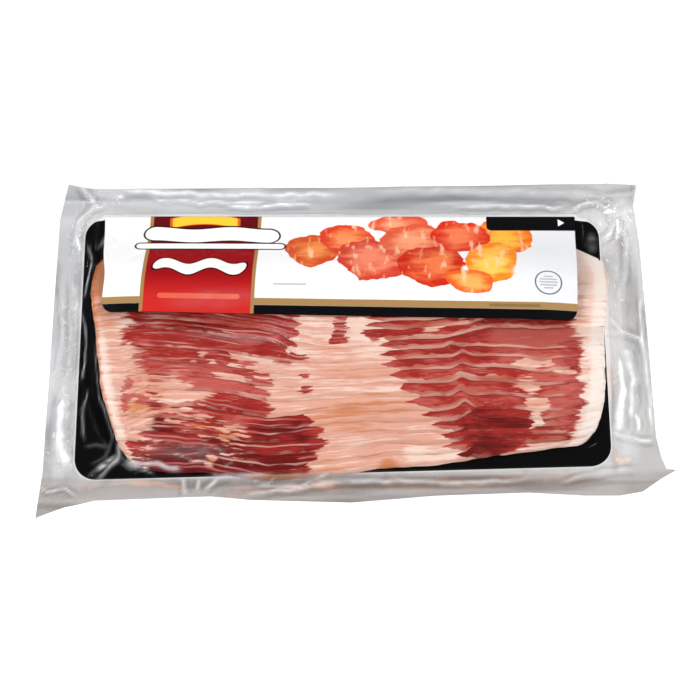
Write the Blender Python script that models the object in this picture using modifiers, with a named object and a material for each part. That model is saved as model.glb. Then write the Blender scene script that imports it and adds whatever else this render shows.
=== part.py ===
"""Sliced bacon on a folded card, vacuum-sealed between two webs of clear film.

Metres, +Z up.  The pack lies flat: X runs along the slices, Y from their front edges
towards the card's fold.  The origin is the middle of the pouch's outline, on its underside.
"""

import math

import bmesh
import bpy
import numpy as np

PACK_NAME = "bacon_pack"
MM = 0.001
GAP = 0.4 * MM                      # clearance between pieces that lie on each other

# Film pouch.  The webs' outline is given side by side, over a plain rectangle.
FILM_THICKNESS = 0.4 * MM
FILM_RECT = (-157 * MM, 150 * MM, -85 * MM, 91 * MM)        # left, right, front, rear
FILM_FRONT = [(-157, -94), (-145, -88), (-131, -84.5), (-73, -83), (-53, -85), (-3, -87),
              (40, -84), (86, -83), (114, -85), (130, -85), (138, -83), (144, -77), (150, -72)]
FILM_REAR = [(-157, 94), (-145, 92), (-7, 91), (134, 91), (150, 88)]
FILM_LEFT = [(-85, -160), (-70, -158), (73, -156), (91, -152)]
FILM_RIGHT = [(-85, 160), (-66, 153), (-54, 151), (9, 150), (56, 149), (79, 147), (91, 150)]
FILM_SLOPE = 2.0                    # the steepest that the upper web comes down beside the bacon
FILM_SAMPLES = 13                   # points tried each way for what lies under a corner of it

# Card: a back panel, a fold along its rear edge and a printed flap over the bacon.
# Places on the card and the bacon are measured from the panel's middle.
CARD_MIDDLE = (-7 * MM, 0.0, 0.0)
CARD_LENGTH = 270 * MM
CARD_DEPTH = 143 * MM
CARD_THICKNESS = 0.8 * MM
CARD_CORNER = 11 * MM
FOLD_RADIUS = 1.9 * MM
FLAP_MIDDLE = -1 * MM
FLAP_LENGTH_AT_FOLD = 247 * MM
FLAP_LENGTH_AT_LIP = 241 * MM
FLAP_LIP = 4.8 * MM                 # the flap's front edge, at the middle of the card
FLAP_LIP_SLANT = -0.033
FLAP_CORNER = 6 * MM
FLAP_RISE_END = 24 * MM             # the flap climbs forward to here, then lies level
FLAP_ROWS = 8
FLAP_COLUMNS = [-1, -0.93, -0.8, -0.5, 0, 0.5, 0.8, 0.93, 1]        # shares of its half length

# Bacon: slices laid like shingles, each one over the rear of the slice in front.
SLICES = 15
SLICES_IN_SIGHT = 13                # the last ones start under the flap
SLICE_THICKNESS = 2.7 * MM
LAYERS = 7                          # a slice's width, counted in steps from edge to edge
SLICE_CORNER = 10 * MM
SLICE_NOSE = 0.9 * MM               # rounding of a slice's front edge
SLICE_TAPER = 1.0 * MM              # how much thinner a slice is at its very ends
CORNER_STEPS = [0.0, 0.15, 0.5]     # shares of a slice's corner radius, from its end inwards
SLICE_STATIONS = [-95, -71, -36, 0, 20, 48, 60, 72, 100]
FIRST_EDGE = [(-128, -66), (-97, -70), (-71, -71.5), (-36, -76.5), (0, -73), (20, -69.5),
              (44, -68.6), (74, -64.7), (99, -61.3), (117, -60), (137, -57)]
LAST_EDGE_IN_SIGHT = [(-128, 4), (-110, 6), (-90, 6), (-60, 3), (-30, 0), (0, -1), (40, -1),
                      (75, 2), (100, 2), (137, 3)]
LEFT_END = [(-58, -104), (-46, -113), (-35, -117), (-6, -123), (30, -128), (36, -119)]
RIGHT_END = [(-46, 124.5), (-38, 130), (-9, 131), (18, 135), (30, 137), (36, 120)]
END_WATCH = (-115 * MM, 125 * MM)   # where a slice's front edge is read to place its two ends
KINK_PLACE = 60 * MM                # a cross fold that moves every slice's edge to the rear
KINK_REACH = 12 * MM
KINK_DEPTH = 3 * MM
END_DROOP = 0.12                    # how much thinner the stack is at its ends
DROOP_START = 100 * MM
DROOP_END = 132 * MM

PANEL_BASE = FILM_THICKNESS + GAP
PANEL_TOP = PANEL_BASE + CARD_THICKNESS
STACK_BASE = PANEL_TOP + GAP


# ---------------------------------------------------------------- scene and materials

def clear_scene():
    for thing in list(bpy.data.objects):
        bpy.data.objects.remove(thing, do_unlink=True)


def make_collection(name):
    collection = bpy.data.collections.new(name)
    bpy.context.scene.collection.children.link(collection)
    return collection


def make_material(name, colour, roughness, alpha=1.0):
    material = bpy.data.materials.new(name)
    material.use_nodes = True
    shader = material.node_tree.nodes["Principled BSDF"]
    shader.inputs["Base Color"].default_value = (*colour, 1.0)
    shader.inputs["Roughness"].default_value = roughness
    shader.inputs["Metallic"].default_value = 0.0
    shader.inputs["Alpha"].default_value = alpha
    return material


# ---------------------------------------------------------------- shape rules

def along(points, place):
    """Read a line of (place, value) points in millimetres at a place in metres."""
    places, values = zip(*points)
    return np.interp(place, np.array(places) * MM, np.array(values) * MM)


def ease(value):
    """A smooth step from 0 to 1."""
    value = np.clip(value, 0.0, 1.0)
    return value * value * (3.0 - 2.0 * value)


def film_point(x, y):
    """Move a point of the film's plain rectangle out to the pouch's real outline."""
    left, right, front, rear = FILM_RECT
    card_x, card_y = CARD_LENGTH / 2, CARD_DEPTH / 2
    near_left = np.clip((CARD_MIDDLE[0] - card_x - x) / (CARD_MIDDLE[0] - card_x - left), 0, 1)
    near_right = np.clip((x - CARD_MIDDLE[0] - card_x) / (right - CARD_MIDDLE[0] - card_x), 0, 1)
    near_front = np.clip((-card_y - y) / (-card_y - front), 0, 1)
    near_rear = np.clip((y - card_y) / (rear - card_y), 0, 1)
    shift_x = near_left * (along(FILM_LEFT, y) - left) + near_right * (along(FILM_RIGHT, y) - right)
    shift_y = near_front * (along(FILM_FRONT, x) - front) + near_rear * (along(FILM_REAR, x) - rear)
    return x + shift_x, y + shift_y


def pitch(x):
    return (along(LAST_EDGE_IN_SIGHT, x) - along(FIRST_EDGE, x)) / (SLICES_IN_SIGHT - 1)


def front_edge(index, x):
    kink = KINK_DEPTH * np.clip(1.0 - np.abs(x - KINK_PLACE) / KINK_REACH, 0, 1)
    return along(FIRST_EDGE, x) + index * pitch(x) + kink


def rear_edge(index, x):
    return front_edge(index + LAYERS, x)


def droop(x):
    return 1.0 - END_DROOP * ease((np.abs(x) - DROOP_START) / (DROOP_END - DROOP_START))


def underside(index, x, y):
    """Height of a slice's underside: the slices under it end one after another."""
    layers = np.clip((rear_edge(index, x) - y) / pitch(x), 0, index)
    return STACK_BASE + droop(x) * SLICE_THICKNESS * layers


def topside(index, x, y):
    return underside(index, x, y) + droop(x) * SLICE_THICKNESS - GAP


def slice_ends(index):
    """The places of a slice's two ends, which follow the stack's outline."""
    left = along(LEFT_END, front_edge(index, END_WATCH[0]) + SLICE_CORNER * 2)
    right = along(RIGHT_END, front_edge(index, END_WATCH[1]) + SLICE_CORNER * 2)
    return float(left), float(right)


def corner_inset(distance, radius):
    """How far a round corner draws in the side, at a distance from the end."""
    reach = max(radius - distance, 0.0)
    return radius - math.sqrt(radius ** 2 - reach ** 2)


def stack_top(x, y):
    """Height of the bacon under each point of two arrays, or zero beside it."""
    height = np.zeros_like(x)
    for index in range(SLICES):
        left, right = slice_ends(index)
        inside = (x >= left) & (x <= right)
        inside &= (y >= front_edge(index, x)) & (y <= rear_edge(index, x))
        height = np.where(inside, np.maximum(height, topside(index, x, y)), height)
    return height


def flap_lip(x):
    return FLAP_LIP + FLAP_LIP_SLANT * x


def flap_half(y):
    """Half length of the flap, which narrows a little from the fold to its lip."""
    share = np.clip((CARD_DEPTH / 2 - y) / (CARD_DEPTH / 2 - FLAP_LIP), 0, 1)
    return (FLAP_LENGTH_AT_FOLD + share * (FLAP_LENGTH_AT_LIP - FLAP_LENGTH_AT_FOLD)) / 2


def plateau(x):
    """Height of the bacon where the stack is thickest, at a place along it."""
    return STACK_BASE + droop(x) * SLICE_THICKNESS * (LAYERS + 1)


def flap_height(x, y):
    """Middle of the flap's thickness: it climbs from the fold and lies on the bacon."""
    level = plateau(x) + GAP + CARD_THICKNESS / 2
    start = PANEL_BASE + CARD_THICKNESS / 2 + 2 * FOLD_RADIUS
    climb = ease((CARD_DEPTH / 2 - FOLD_RADIUS - y) / (CARD_DEPTH / 2 - FLAP_RISE_END))
    return start + climb * (level - start)


def card_top(x, y):
    """Height of the card's upper surface, flap or panel, or zero beside it."""
    half_x, half_y = CARD_LENGTH / 2, CARD_DEPTH / 2
    on_panel = (np.abs(x) <= half_x) & (np.abs(y) <= half_y)
    height = np.where(on_panel, PANEL_TOP, 0.0)
    on_flap = (np.abs(x - FLAP_MIDDLE) <= flap_half(y)) & (y >= flap_lip(x)) & (y <= half_y)
    return np.where(on_flap, flap_height(x, y) + CARD_THICKNESS / 2, height)


# ---------------------------------------------------------------- mesh helpers

def finish_object(name, bm, material, collection, parent=None, smooth_angle=35):
    bmesh.ops.recalc_face_normals(bm, faces=bm.faces)
    mesh = bpy.data.meshes.new(name)
    bm.to_mesh(mesh)
    bm.free()
    mesh.materials.append(material)
    mesh.shade_smooth()
    mesh.set_sharp_from_angle(angle=math.radians(smooth_angle))
    thing = bpy.data.objects.new(name, mesh)
    collection.objects.link(thing)
    thing.parent = parent
    return thing


def sheet(rows):
    """An open surface through rows of points with equal counts."""
    bm = bmesh.new()
    grid = [[bm.verts.new(point) for point in row] for row in rows]
    for lower, upper in zip(grid, grid[1:]):
        for a, b, c, d in zip(lower, lower[1:], upper[1:], upper):
            bm.faces.new((a, b, c, d))
    return bm


def loft(rings, turn_back):
    """A closed solid of triangles through rings of points, with a face over each end.

    From the corner numbered turn_back on, a ring runs back over its first half, and the
    triangles lean the other way, so that one solid's back matches the next one's underside.
    """
    bm = bmesh.new()
    grid = [[bm.verts.new(point) for point in ring] for ring in rings]
    for ring, following in zip(grid, grid[1:]):
        count = len(ring)
        for corner in range(count):
            after = (corner + 1) % count
            a, b, c, d = ring[corner], ring[after], following[after], following[corner]
            if corner < turn_back:
                bm.faces.new((a, b, c))
                bm.faces.new((a, c, d))
            else:
                bm.faces.new((a, b, d))
                bm.faces.new((b, c, d))
    bm.faces.new(grid[0])
    bm.faces.new(reversed(grid[-1]))
    return bm


def thicken(thing, thickness, offset):
    solidify = thing.modifiers.new("thickness", "SOLIDIFY")
    solidify.thickness = thickness
    solidify.offset = offset
    solidify.use_even_offset = True


def spread(breaks, counts):
    """Places from one break to the next, in equal steps."""
    places = [breaks[0]]
    for start, end, count in zip(breaks, breaks[1:], counts):
        places += [start + (end - start) * step / count for step in range(1, count + 1)]
    return np.array(places) * MM


# ---------------------------------------------------------------- pieces

FILM_X = spread([-157, -146, -140, -118, 108, 130, 136, 150], [2, 2, 5, 18, 5, 2, 2])
FILM_Y = spread([-85, -80, -74, -36, 40, 54, 72, 76, 91], [1, 2, 8, 9, 3, 3, 1, 2])


def make_back_film(collection, material):
    """The lower web: flat, and as large as the pouch."""
    front = [(x, FILM_Y[0]) for x in FILM_X[:-1]]
    right = [(FILM_X[-1], y) for y in FILM_Y[:-1]]
    rear = [(x, FILM_Y[-1]) for x in FILM_X[:0:-1]]
    left = [(FILM_X[0], y) for y in FILM_Y[:0:-1]]
    outline = [film_point(x, y) for x, y in front + right + rear + left]
    curve = bpy.data.curves.new("back_film", "CURVE")
    curve.dimensions = "2D"
    curve.fill_mode = "BOTH"
    curve.extrude = FILM_THICKNESS / 2
    spline = curve.splines.new("POLY")
    spline.points.add(len(outline) - 1)
    for point, (x, y) in zip(spline.points, outline):
        point.co = (x, y, 0.0, 1.0)
    spline.use_cyclic_u = True
    curve.materials.append(material)
    film = bpy.data.objects.new("back_film", curve)
    film.location.z = FILM_THICKNESS / 2
    collection.objects.link(film)


def arc(start, end, steps):
    """Angles in radians from one number of degrees to another, in equal steps."""
    return np.radians(np.linspace(start, end, steps + 1))


def panel_rows():
    """The panel from its front edge to the fold, drawn in at its round corners."""
    height = PANEL_BASE + CARD_THICKNESS / 2
    half_x, half_y = CARD_LENGTH / 2, CARD_DEPTH / 2
    rows = []
    for turn in arc(0, 90, 3):
        inset, back = CARD_CORNER * (1 - math.sin(turn)), CARD_CORNER * (1 - math.cos(turn))
        rows.append((-half_y + back, height, half_x - inset, 0.0))
    for turn in arc(90, 30, 2):
        inset, back = CARD_CORNER * (1 - math.sin(turn)), CARD_CORNER * (1 - math.cos(turn))
        rows.append((half_y - back, height, half_x - inset, 0.0))
    return rows


def fold_rows():
    """The half turn along the rear edge, from the panel up to the flap."""
    middle_y = CARD_DEPTH / 2 - FOLD_RADIUS
    middle_z = PANEL_BASE + CARD_THICKNESS / 2 + FOLD_RADIUS
    rows = []
    for turn in arc(-50, 65, 3):
        y = middle_y + FOLD_RADIUS * math.cos(turn)
        z = middle_z + FOLD_RADIUS * math.sin(turn)
        rows.append((y, z, FLAP_LENGTH_AT_FOLD / 2, FLAP_MIDDLE))
    return rows


def flap_rows():
    """The flap from behind the fold to its lip, whose two corners are round."""
    fold_y = CARD_DEPTH / 2 - FOLD_RADIUS
    corner_share = FLAP_CORNER / (fold_y - FLAP_LIP)
    shares = list(np.linspace(0, 1 - corner_share, FLAP_ROWS + 1)[1:])
    shares += [1 - corner_share / 4, 1.0]
    rows = []
    for share in shares:
        past_corner = min(max(share - (1 - corner_share), 0) / corner_share, 1.0)
        inset = FLAP_CORNER * (1 - math.sqrt(1 - past_corner ** 2))
        row = []
        for side in FLAP_COLUMNS:
            lip = flap_lip(FLAP_MIDDLE + side * FLAP_LENGTH_AT_LIP / 2)
            y = fold_y + share * (lip - fold_y)
            x = FLAP_MIDDLE + side * (flap_half(y) - inset)
            row.append((x, y, flap_height(x, y)))
        rows.append(row)
    return rows


def make_card(collection, material, parent):
    """Panel, fold and flap as one sheet that doubles over the bacon."""
    rows = [[(middle + half * side, y, z) for side in FLAP_COLUMNS]
            for y, z, half, middle in panel_rows() + fold_rows()]
    card = finish_object("card", sheet(rows + flap_rows()), material, collection, parent)
    thicken(card, CARD_THICKNESS, 0.0)


def slice_ring(index, x, inset):
    """A slice cut across at one place: underside from front to rear, then back and nose.

    The knee is where the slice comes down to the panel's level behind the stack's first slice.
    """
    front = front_edge(index, x) + inset
    rear = rear_edge(index, x) - inset
    knee = min(max(rear_edge(0, x), front + 1.2 * SLICE_NOSE), rear - SLICE_NOSE)
    low = [(x, y, underside(index, x, y)) for y in (front, knee, rear)]
    thinner = SLICE_TAPER * inset / SLICE_CORNER
    high = [(x, y, topside(index, x, y) - thinner) for y in (rear, knee, front + SLICE_NOSE)]
    nose_height = (low[0][2] + high[-1][2]) / 2
    return low + high + [(x, front, nose_height)]


def make_slice(index, collection, material, parent):
    left, right = slice_ends(index)
    steps = [share * SLICE_CORNER for share in CORNER_STEPS]
    places = [(left + step, corner_inset(step, SLICE_CORNER)) for step in steps]
    middle = [station * MM for station in SLICE_STATIONS]
    places += [(x, 0.0) for x in [left + SLICE_CORNER] + middle + [right - SLICE_CORNER]]
    places += [(right - step, corner_inset(step, SLICE_CORNER)) for step in reversed(steps)]
    rings = [slice_ring(index, x, inset) for x, inset in places]
    finish_object(f"slice_{index + 1:02d}", loft(rings, 3), material, collection, parent)


def contents_top(x, y):
    """Height of whatever lies under each point of two arrays in the pack's frame."""
    inner_x, inner_y = x - CARD_MIDDLE[0], y - CARD_MIDDLE[1]
    height = np.maximum(stack_top(inner_x, inner_y), card_top(inner_x, inner_y))
    return np.maximum(height, FILM_THICKNESS)


def film_heights(points_x, points_y):
    """Clear of all that lies in the cells around each corner, and nowhere too steep."""
    rows, columns = points_x.shape
    heights = np.zeros_like(points_x)
    for j in range(rows):
        for i in range(columns):
            low_i, high_i = max(i - 1, 0), min(i + 1, columns - 1)
            low_j, high_j = max(j - 1, 0), min(j + 1, rows - 1)
            near_x = np.linspace(points_x[j, low_i], points_x[j, high_i], FILM_SAMPLES)
            near_y = np.linspace(points_y[low_j, i], points_y[high_j, i], FILM_SAMPLES)
            heights[j, i] = contents_top(*np.meshgrid(near_x, near_y)).max() + GAP
    raised = heights.copy()
    for x, y, height in zip(points_x.flat, points_y.flat, heights.flat):
        away = np.hypot(points_x - x, points_y - y)
        raised = np.maximum(raised, height - FILM_SLOPE * away)
    return raised


def make_front_film(collection, material):
    """The upper web: drawn down over the card and the bacon, flat outside them."""
    points_x, points_y = film_point(*np.meshgrid(FILM_X, FILM_Y))
    grid = np.dstack((points_x, points_y, film_heights(points_x, points_y)))
    film = finish_object("front_film", sheet(grid), material, collection)
    thicken(film, FILM_THICKNESS, 1.0)


def main():
    clear_scene()
    collection = make_collection(PACK_NAME)
    film = make_material("clear_film", (0.80, 0.82, 0.83), 0.12, alpha=0.35)
    board = make_material("printed_card", (0.02, 0.02, 0.022), 0.3)
    meat = make_material("bacon", (0.62, 0.16, 0.13), 0.32)
    contents = bpy.data.objects.new("contents", None)
    contents.location = CARD_MIDDLE
    collection.objects.link(contents)
    make_back_film(collection, film)
    make_card(collection, board, contents)
    for index in range(SLICES):
        make_slice(index, collection, meat, contents)
    make_front_film(collection, film)


main()
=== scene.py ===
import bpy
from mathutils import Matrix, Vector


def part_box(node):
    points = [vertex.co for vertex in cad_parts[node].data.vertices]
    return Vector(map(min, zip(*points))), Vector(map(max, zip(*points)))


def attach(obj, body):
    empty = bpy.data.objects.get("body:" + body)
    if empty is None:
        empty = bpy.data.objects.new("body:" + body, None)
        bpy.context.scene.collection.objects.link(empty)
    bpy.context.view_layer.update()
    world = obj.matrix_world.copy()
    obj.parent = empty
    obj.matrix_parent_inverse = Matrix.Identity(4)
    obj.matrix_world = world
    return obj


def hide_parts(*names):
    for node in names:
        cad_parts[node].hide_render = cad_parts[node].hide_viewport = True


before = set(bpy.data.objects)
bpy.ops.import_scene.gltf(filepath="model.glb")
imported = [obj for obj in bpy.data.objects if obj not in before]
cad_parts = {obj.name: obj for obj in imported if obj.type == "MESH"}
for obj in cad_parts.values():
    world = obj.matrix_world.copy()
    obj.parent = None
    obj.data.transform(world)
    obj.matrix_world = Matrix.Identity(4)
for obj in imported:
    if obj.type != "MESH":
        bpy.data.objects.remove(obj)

"""A vacuum pack of sliced bacon: wet marbled slices on a black card, whose printed flap
folds over them, between two webs of wrinkled clear film.  Lengths are in millimetres
until a mesh is made; places on the card and the bacon are measured from the card's middle.
"""

import math

import bpy
import numpy as np
from mathutils import Matrix, Vector

MM = 0.001
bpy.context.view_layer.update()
SLICE_NODES = sorted(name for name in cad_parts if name.startswith("slice_"))
BODY = "root"

# ---- places from the frame

CARD_LOW, CARD_HIGH = [np.array(corner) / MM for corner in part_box("card")]
CARD_LENGTH = CARD_HIGH[0] - CARD_LOW[0]
CARD_DEPTH = 143.0
CARD_THICKNESS = 0.8
CARD_X = (CARD_HIGH[0] + CARD_LOW[0]) / 2
CARD_Y = CARD_LOW[1] + CARD_DEPTH / 2
CARD_CORNER = 11.0
PANEL_BASE = CARD_LOW[2]
PANEL_TOP = PANEL_BASE + CARD_THICKNESS
STACK_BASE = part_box(SLICE_NODES[0])[0][2] / MM

# Flap: the printed part of the card that folds over the bacon.
FOLD_RADIUS = 1.9
FLAP_MIDDLE = -1.0
FLAP_LENGTH_AT_FOLD = 247.0
FLAP_LENGTH_AT_LIP = 241.0
FLAP_LIP = 4.8
FLAP_LIP_SLANT = -0.033
FLAP_CORNER = 6.0
FLAP_RISE_END = 24.0
FLAP_TOP = CARD_HIGH[2]

# Bacon: the front edges of some slices, from which the others are worked out.
SLICES = len(SLICE_NODES)
SLICE_WIDTH = 41.0
SLICE_THICKNESS = 2.95
SLICE_STEP = 1.1                    # what shows of a slice's thickness at its front edge
CARD_SPLAY = 0.03                   # how much deeper the card is drawn at its left than its middle
HIDDEN_PITCH = 4.0                  # between the slices that start under the flap
EDGE_GUIDES = {
    0: [(-128, -66), (-112, -67.5), (-97, -70), (-71, -71.5), (-36, -76.5), (0, -73), (20, -69.5),
        (44, -68.6), (74, -64.7), (99, -61.3), (117, -60), (137, -57)],
    5: [(-128, -36), (-100, -39.5), (-70, -42), (-36, -47.5), (0, -44.5), (35, -45), (75, -44),
        (100, -46), (118, -43.5), (137, -40)],
    9: [(-128, -8), (-100, -8.5), (-80, -10), (-60, -12), (-40, -16.5), (-25, -20), (0, -21.5),
        (30, -19.8), (75, -19.5), (100, -23), (137, -19)],
    10: [(-128, 1), (-110, 3), (-100, 3), (-80, 0.4), (-60, -2.5), (-45, -4.6), (-35, -6.7),
         (-28, -10.8), (-22, -15.5), (0, -16.5), (20, -15), (35, -14.2), (70, -13.4), (85, -15),
         (100, -17.7), (137, -14)],
    11: [(-128, 5), (-110, 8), (-85, 6.7), (-60, 3.3), (-40, 0), (-32, -1.7), (-25, -7.5),
         (-10, -11), (20, -10), (35, -8.2), (50, -8), (62, -5), (75, 0), (100, -1.2), (137, 0)],
    12: [(-128, 9), (-110, 12), (-85, 11), (-62, 7.5), (-50, 5), (-35, 3.3), (-28, 0.8),
         (-20, -1), (0, -3.3), (35, -2.5), (60, 0), (75, 4), (137, 5)],
}
# Where the stack ends to the left and right: (y, x).
LEFT_OUTLINE = [(-74, -96), (-68, -103), (-61, -110), (-56, -113), (-45, -117), (-32, -120.5), (-16, -123),
                (0, -125), (23, -128), (40, -127.5), (46, -124), (51, -114), (56, -100)]
RIGHT_OUTLINE = [(-62, 112), (-58, 121), (-53, 126.5), (-45, 130), (-35, 132), (-19, 131.5), (-3, 133),
                 (8, 135), (25, 137), (33, 137), (40, 135), (45, 130), (50, 120), (56, 104)]
END_REACH = 26.0                    # how far from its ends a slice is drawn out to the outline
END_DROOP = 0.12                    # how much lower the stack lies at its ends
DROOP_START, DROOP_END = 100.0, 132.0
LEFT_PROBE, RIGHT_PROBE = -115.0, 125.0     # where a slice's edge decides where its ends lie
# Where the front edges step back, to the right of the middle: (slice, place) and (slice, depth).
DIP_PLACES = [(0, 67), (5, 63), (8, 60), (10, 57)]
DIP_DEPTHS = [(0, 0.5), (1, 2), (3, 1.5), (5, 3.5), (8, 3.8), (10, 2.2), (11, 0)]

# Film: a plain rectangle, and the four sides of the webs' outline that it is drawn out to.
FILM_RECT = (-157, 150, -85, 91)    # left, right, front, rear
FILM_FRONT = [(-157, -94), (-145, -88), (-131, -84.5), (-73, -83), (-53, -85), (-3, -87),
              (40, -84), (86, -83), (114, -85), (130, -85), (138, -83), (144, -77), (150, -72)]
FILM_REAR = [(-157, 94), (-145, 92), (-7, 91), (134, 91), (150, 88)]
FILM_LEFT = [(-85, -160), (-70, -158), (73, -156), (91, -152)]
FILM_RIGHT = [(-85, 160), (-66, 153), (-54, 151), (9, 150), (56, 149), (79, 147), (91, 150)]
FILM_SLOPE = 2.2                    # the steepest that the upper web comes down
FILM_CLEARANCE = 0.12
FILM_STEP = 1.0


# ---- numbers and noise

def along(points, place):
    places, values = zip(*points)
    return np.interp(place, places, values)


def ease(value):
    value = np.clip(value, 0.0, 1.0)
    return value * value * (3.0 - 2.0 * value)


def fade(value, start, end):
    """0 before start, 1 after end, smooth between them."""
    return ease((value - start) / (end - start))


def within(value, start, full, full_end, end):
    """1 from full to full_end, smoothly down to 0 at start and at end."""
    return fade(value, start, full) * fade(-value, -end, -full_end)


def hump(value, middle, half):
    """A bell curve, 1 at its middle."""
    return np.exp(-((value - middle) / half) ** 2)


def mound(x, y, middle, reach):
    """A bell curve over two directions."""
    return np.exp(-((x - middle[0]) ** 2 + (y - middle[1]) ** 2) / reach ** 2)


NOISE_SIZE = 64
NOISE_TABLES = np.random.default_rng(7).uniform(-1.0, 1.0, (24, NOISE_SIZE, NOISE_SIZE))


def read_between(table, rows, columns, part_x, part_y):
    """Values between four neighbouring cells of a table."""
    front, rear = (table[row, columns[0]] * (1 - part_x) + table[row, columns[1]] * part_x for row in rows)
    return front * (1 - part_y) + rear * part_y


def noise(x, y, seed):
    """Smooth noise from -1 to 1 with a feature about every unit."""
    x, y = np.broadcast_arrays(np.asarray(x, float), np.asarray(y, float))
    x, y = x + 7.31 * seed, y + 3.77 * seed
    column, row = np.floor(x).astype(int), np.floor(y).astype(int)
    rows, columns = [(first % NOISE_SIZE, (first + 1) % NOISE_SIZE) for first in (row, column)]
    table = NOISE_TABLES[seed % len(NOISE_TABLES)]
    return read_between(table, rows, columns, ease(x - column), ease(y - row))


def layered_noise(x, y, seed):
    """Noise with two finer and weaker layers on it."""
    total = sum(0.5 ** layer * noise(x * 2 ** layer, y * 2 ** layer, seed + 5 * layer) for layer in range(3))
    return total / 1.6


def ridged(x, y, seed):
    """Noise as narrow ridges on a flat ground, from 0 to 1."""
    return np.clip(1.0 - 3.2 * np.abs(noise(x, y, seed)), 0.0, 1.0) ** 1.5


def blurred(values, reach, axis):
    """Smooth an array along an axis with a window of about reach samples."""
    width = int(round(reach * 3))
    window = hump(np.arange(-width, width + 1), 0.0, reach)
    window /= window.sum()
    margins = [(width, width) if a == axis else (0, 0) for a in range(values.ndim)]
    padded = np.pad(values, margins, mode="edge")
    return np.apply_along_axis(np.convolve, axis, padded, window, "valid")


# ---- the stack of slices

FINE_X = np.arange(-140.0, 146.0, 1.0)


def front_edge(index, guides, lines):
    """One slice's front edge over FINE_X: between the guides, with its own dip and waves."""
    shown = min(index, guides[-1])
    row = np.array([np.interp(shown, guides, column) for column in lines.T])
    row = row + HIDDEN_PITCH * (index - shown)
    place = along(DIP_PLACES, index) + 3.0 * float(noise(index * 1.9, 0.2, 3))
    depth = along(DIP_DEPTHS, index) * (1.0 + 0.5 * float(noise(index * 2.9, 4.4, 3)))
    row = row + depth * np.exp(-(np.abs(FINE_X - place) / 3.6) ** 1.6)
    return row + 0.55 * noise(FINE_X / 17, index * 1.7, 1) + 0.35 * noise(FINE_X / 5, index * 2.3, 2)


def make_edges():
    """Every slice's front edge, none of them in front of the one before it."""
    guides = sorted(EDGE_GUIDES)
    lines = np.array([blurred(along(EDGE_GUIDES[i], FINE_X), 2.0, 0) for i in guides])
    edges = np.array([front_edge(index, guides, lines) for index in range(SLICES)])
    wavy = fade(FINE_X, 10, 30)
    edges = edges + np.array([0.45 * wavy * noise(FINE_X / 9, i * 2.7, 6) for i in range(SLICES)])
    for index in range(1, SLICES):
        edges[index] = np.maximum(edges[index], edges[index - 1] + 0.9)
    return edges


EDGES = make_edges()
SMOOTH_EDGES = blurred(EDGES, 9.0, 1)


def edges_at(x, edges):
    """The front edges at an array of places: one row for each slice."""
    return np.array([np.interp(x, FINE_X, row) for row in edges])


def droop(x):
    return 1.0 - END_DROOP * fade(np.abs(x), DROOP_START, DROOP_END)


def flap_half(y):
    share = np.clip((CARD_DEPTH / 2 - y) / (CARD_DEPTH / 2 - FLAP_LIP), 0, 1)
    return (FLAP_LENGTH_AT_FOLD + share * (FLAP_LENGTH_AT_LIP - FLAP_LENGTH_AT_FOLD)) / 2


def flap_lip(x):
    return FLAP_LIP + FLAP_LIP_SLANT * x


def splay(x):
    """The card's depth at a place along it, as a share of the depth at its middle."""
    return 1.0 - CARD_SPLAY * x / (CARD_LENGTH / 2)


def flap_height(x, y):
    """Middle of the flap's thickness: it climbs from the fold and lies on the bacon."""
    level = STACK_BASE + droop(x) * (FLAP_TOP - CARD_THICKNESS - STACK_BASE) + CARD_THICKNESS / 2
    start = PANEL_BASE + CARD_THICKNESS / 2 + 2 * FOLD_RADIUS
    climb = ease((CARD_DEPTH / 2 - FOLD_RADIUS - y) / (CARD_DEPTH / 2 - FLAP_RISE_END))
    return start + climb * (level - start)


def step_at(index, x):
    """How much of its thickness a slice shows: little in the soft fat and at the pressed ends."""
    ends = within(x, -126, -106, 108, 130)
    soft = 1.0 - 0.5 * hump(x, 2.0, 24.0)
    return SLICE_STEP * 0.85 * (0.12 + 0.88 * ends) * soft * (1.0 + 0.3 * noise(x / 23, index * 1.9, 3))


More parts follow.
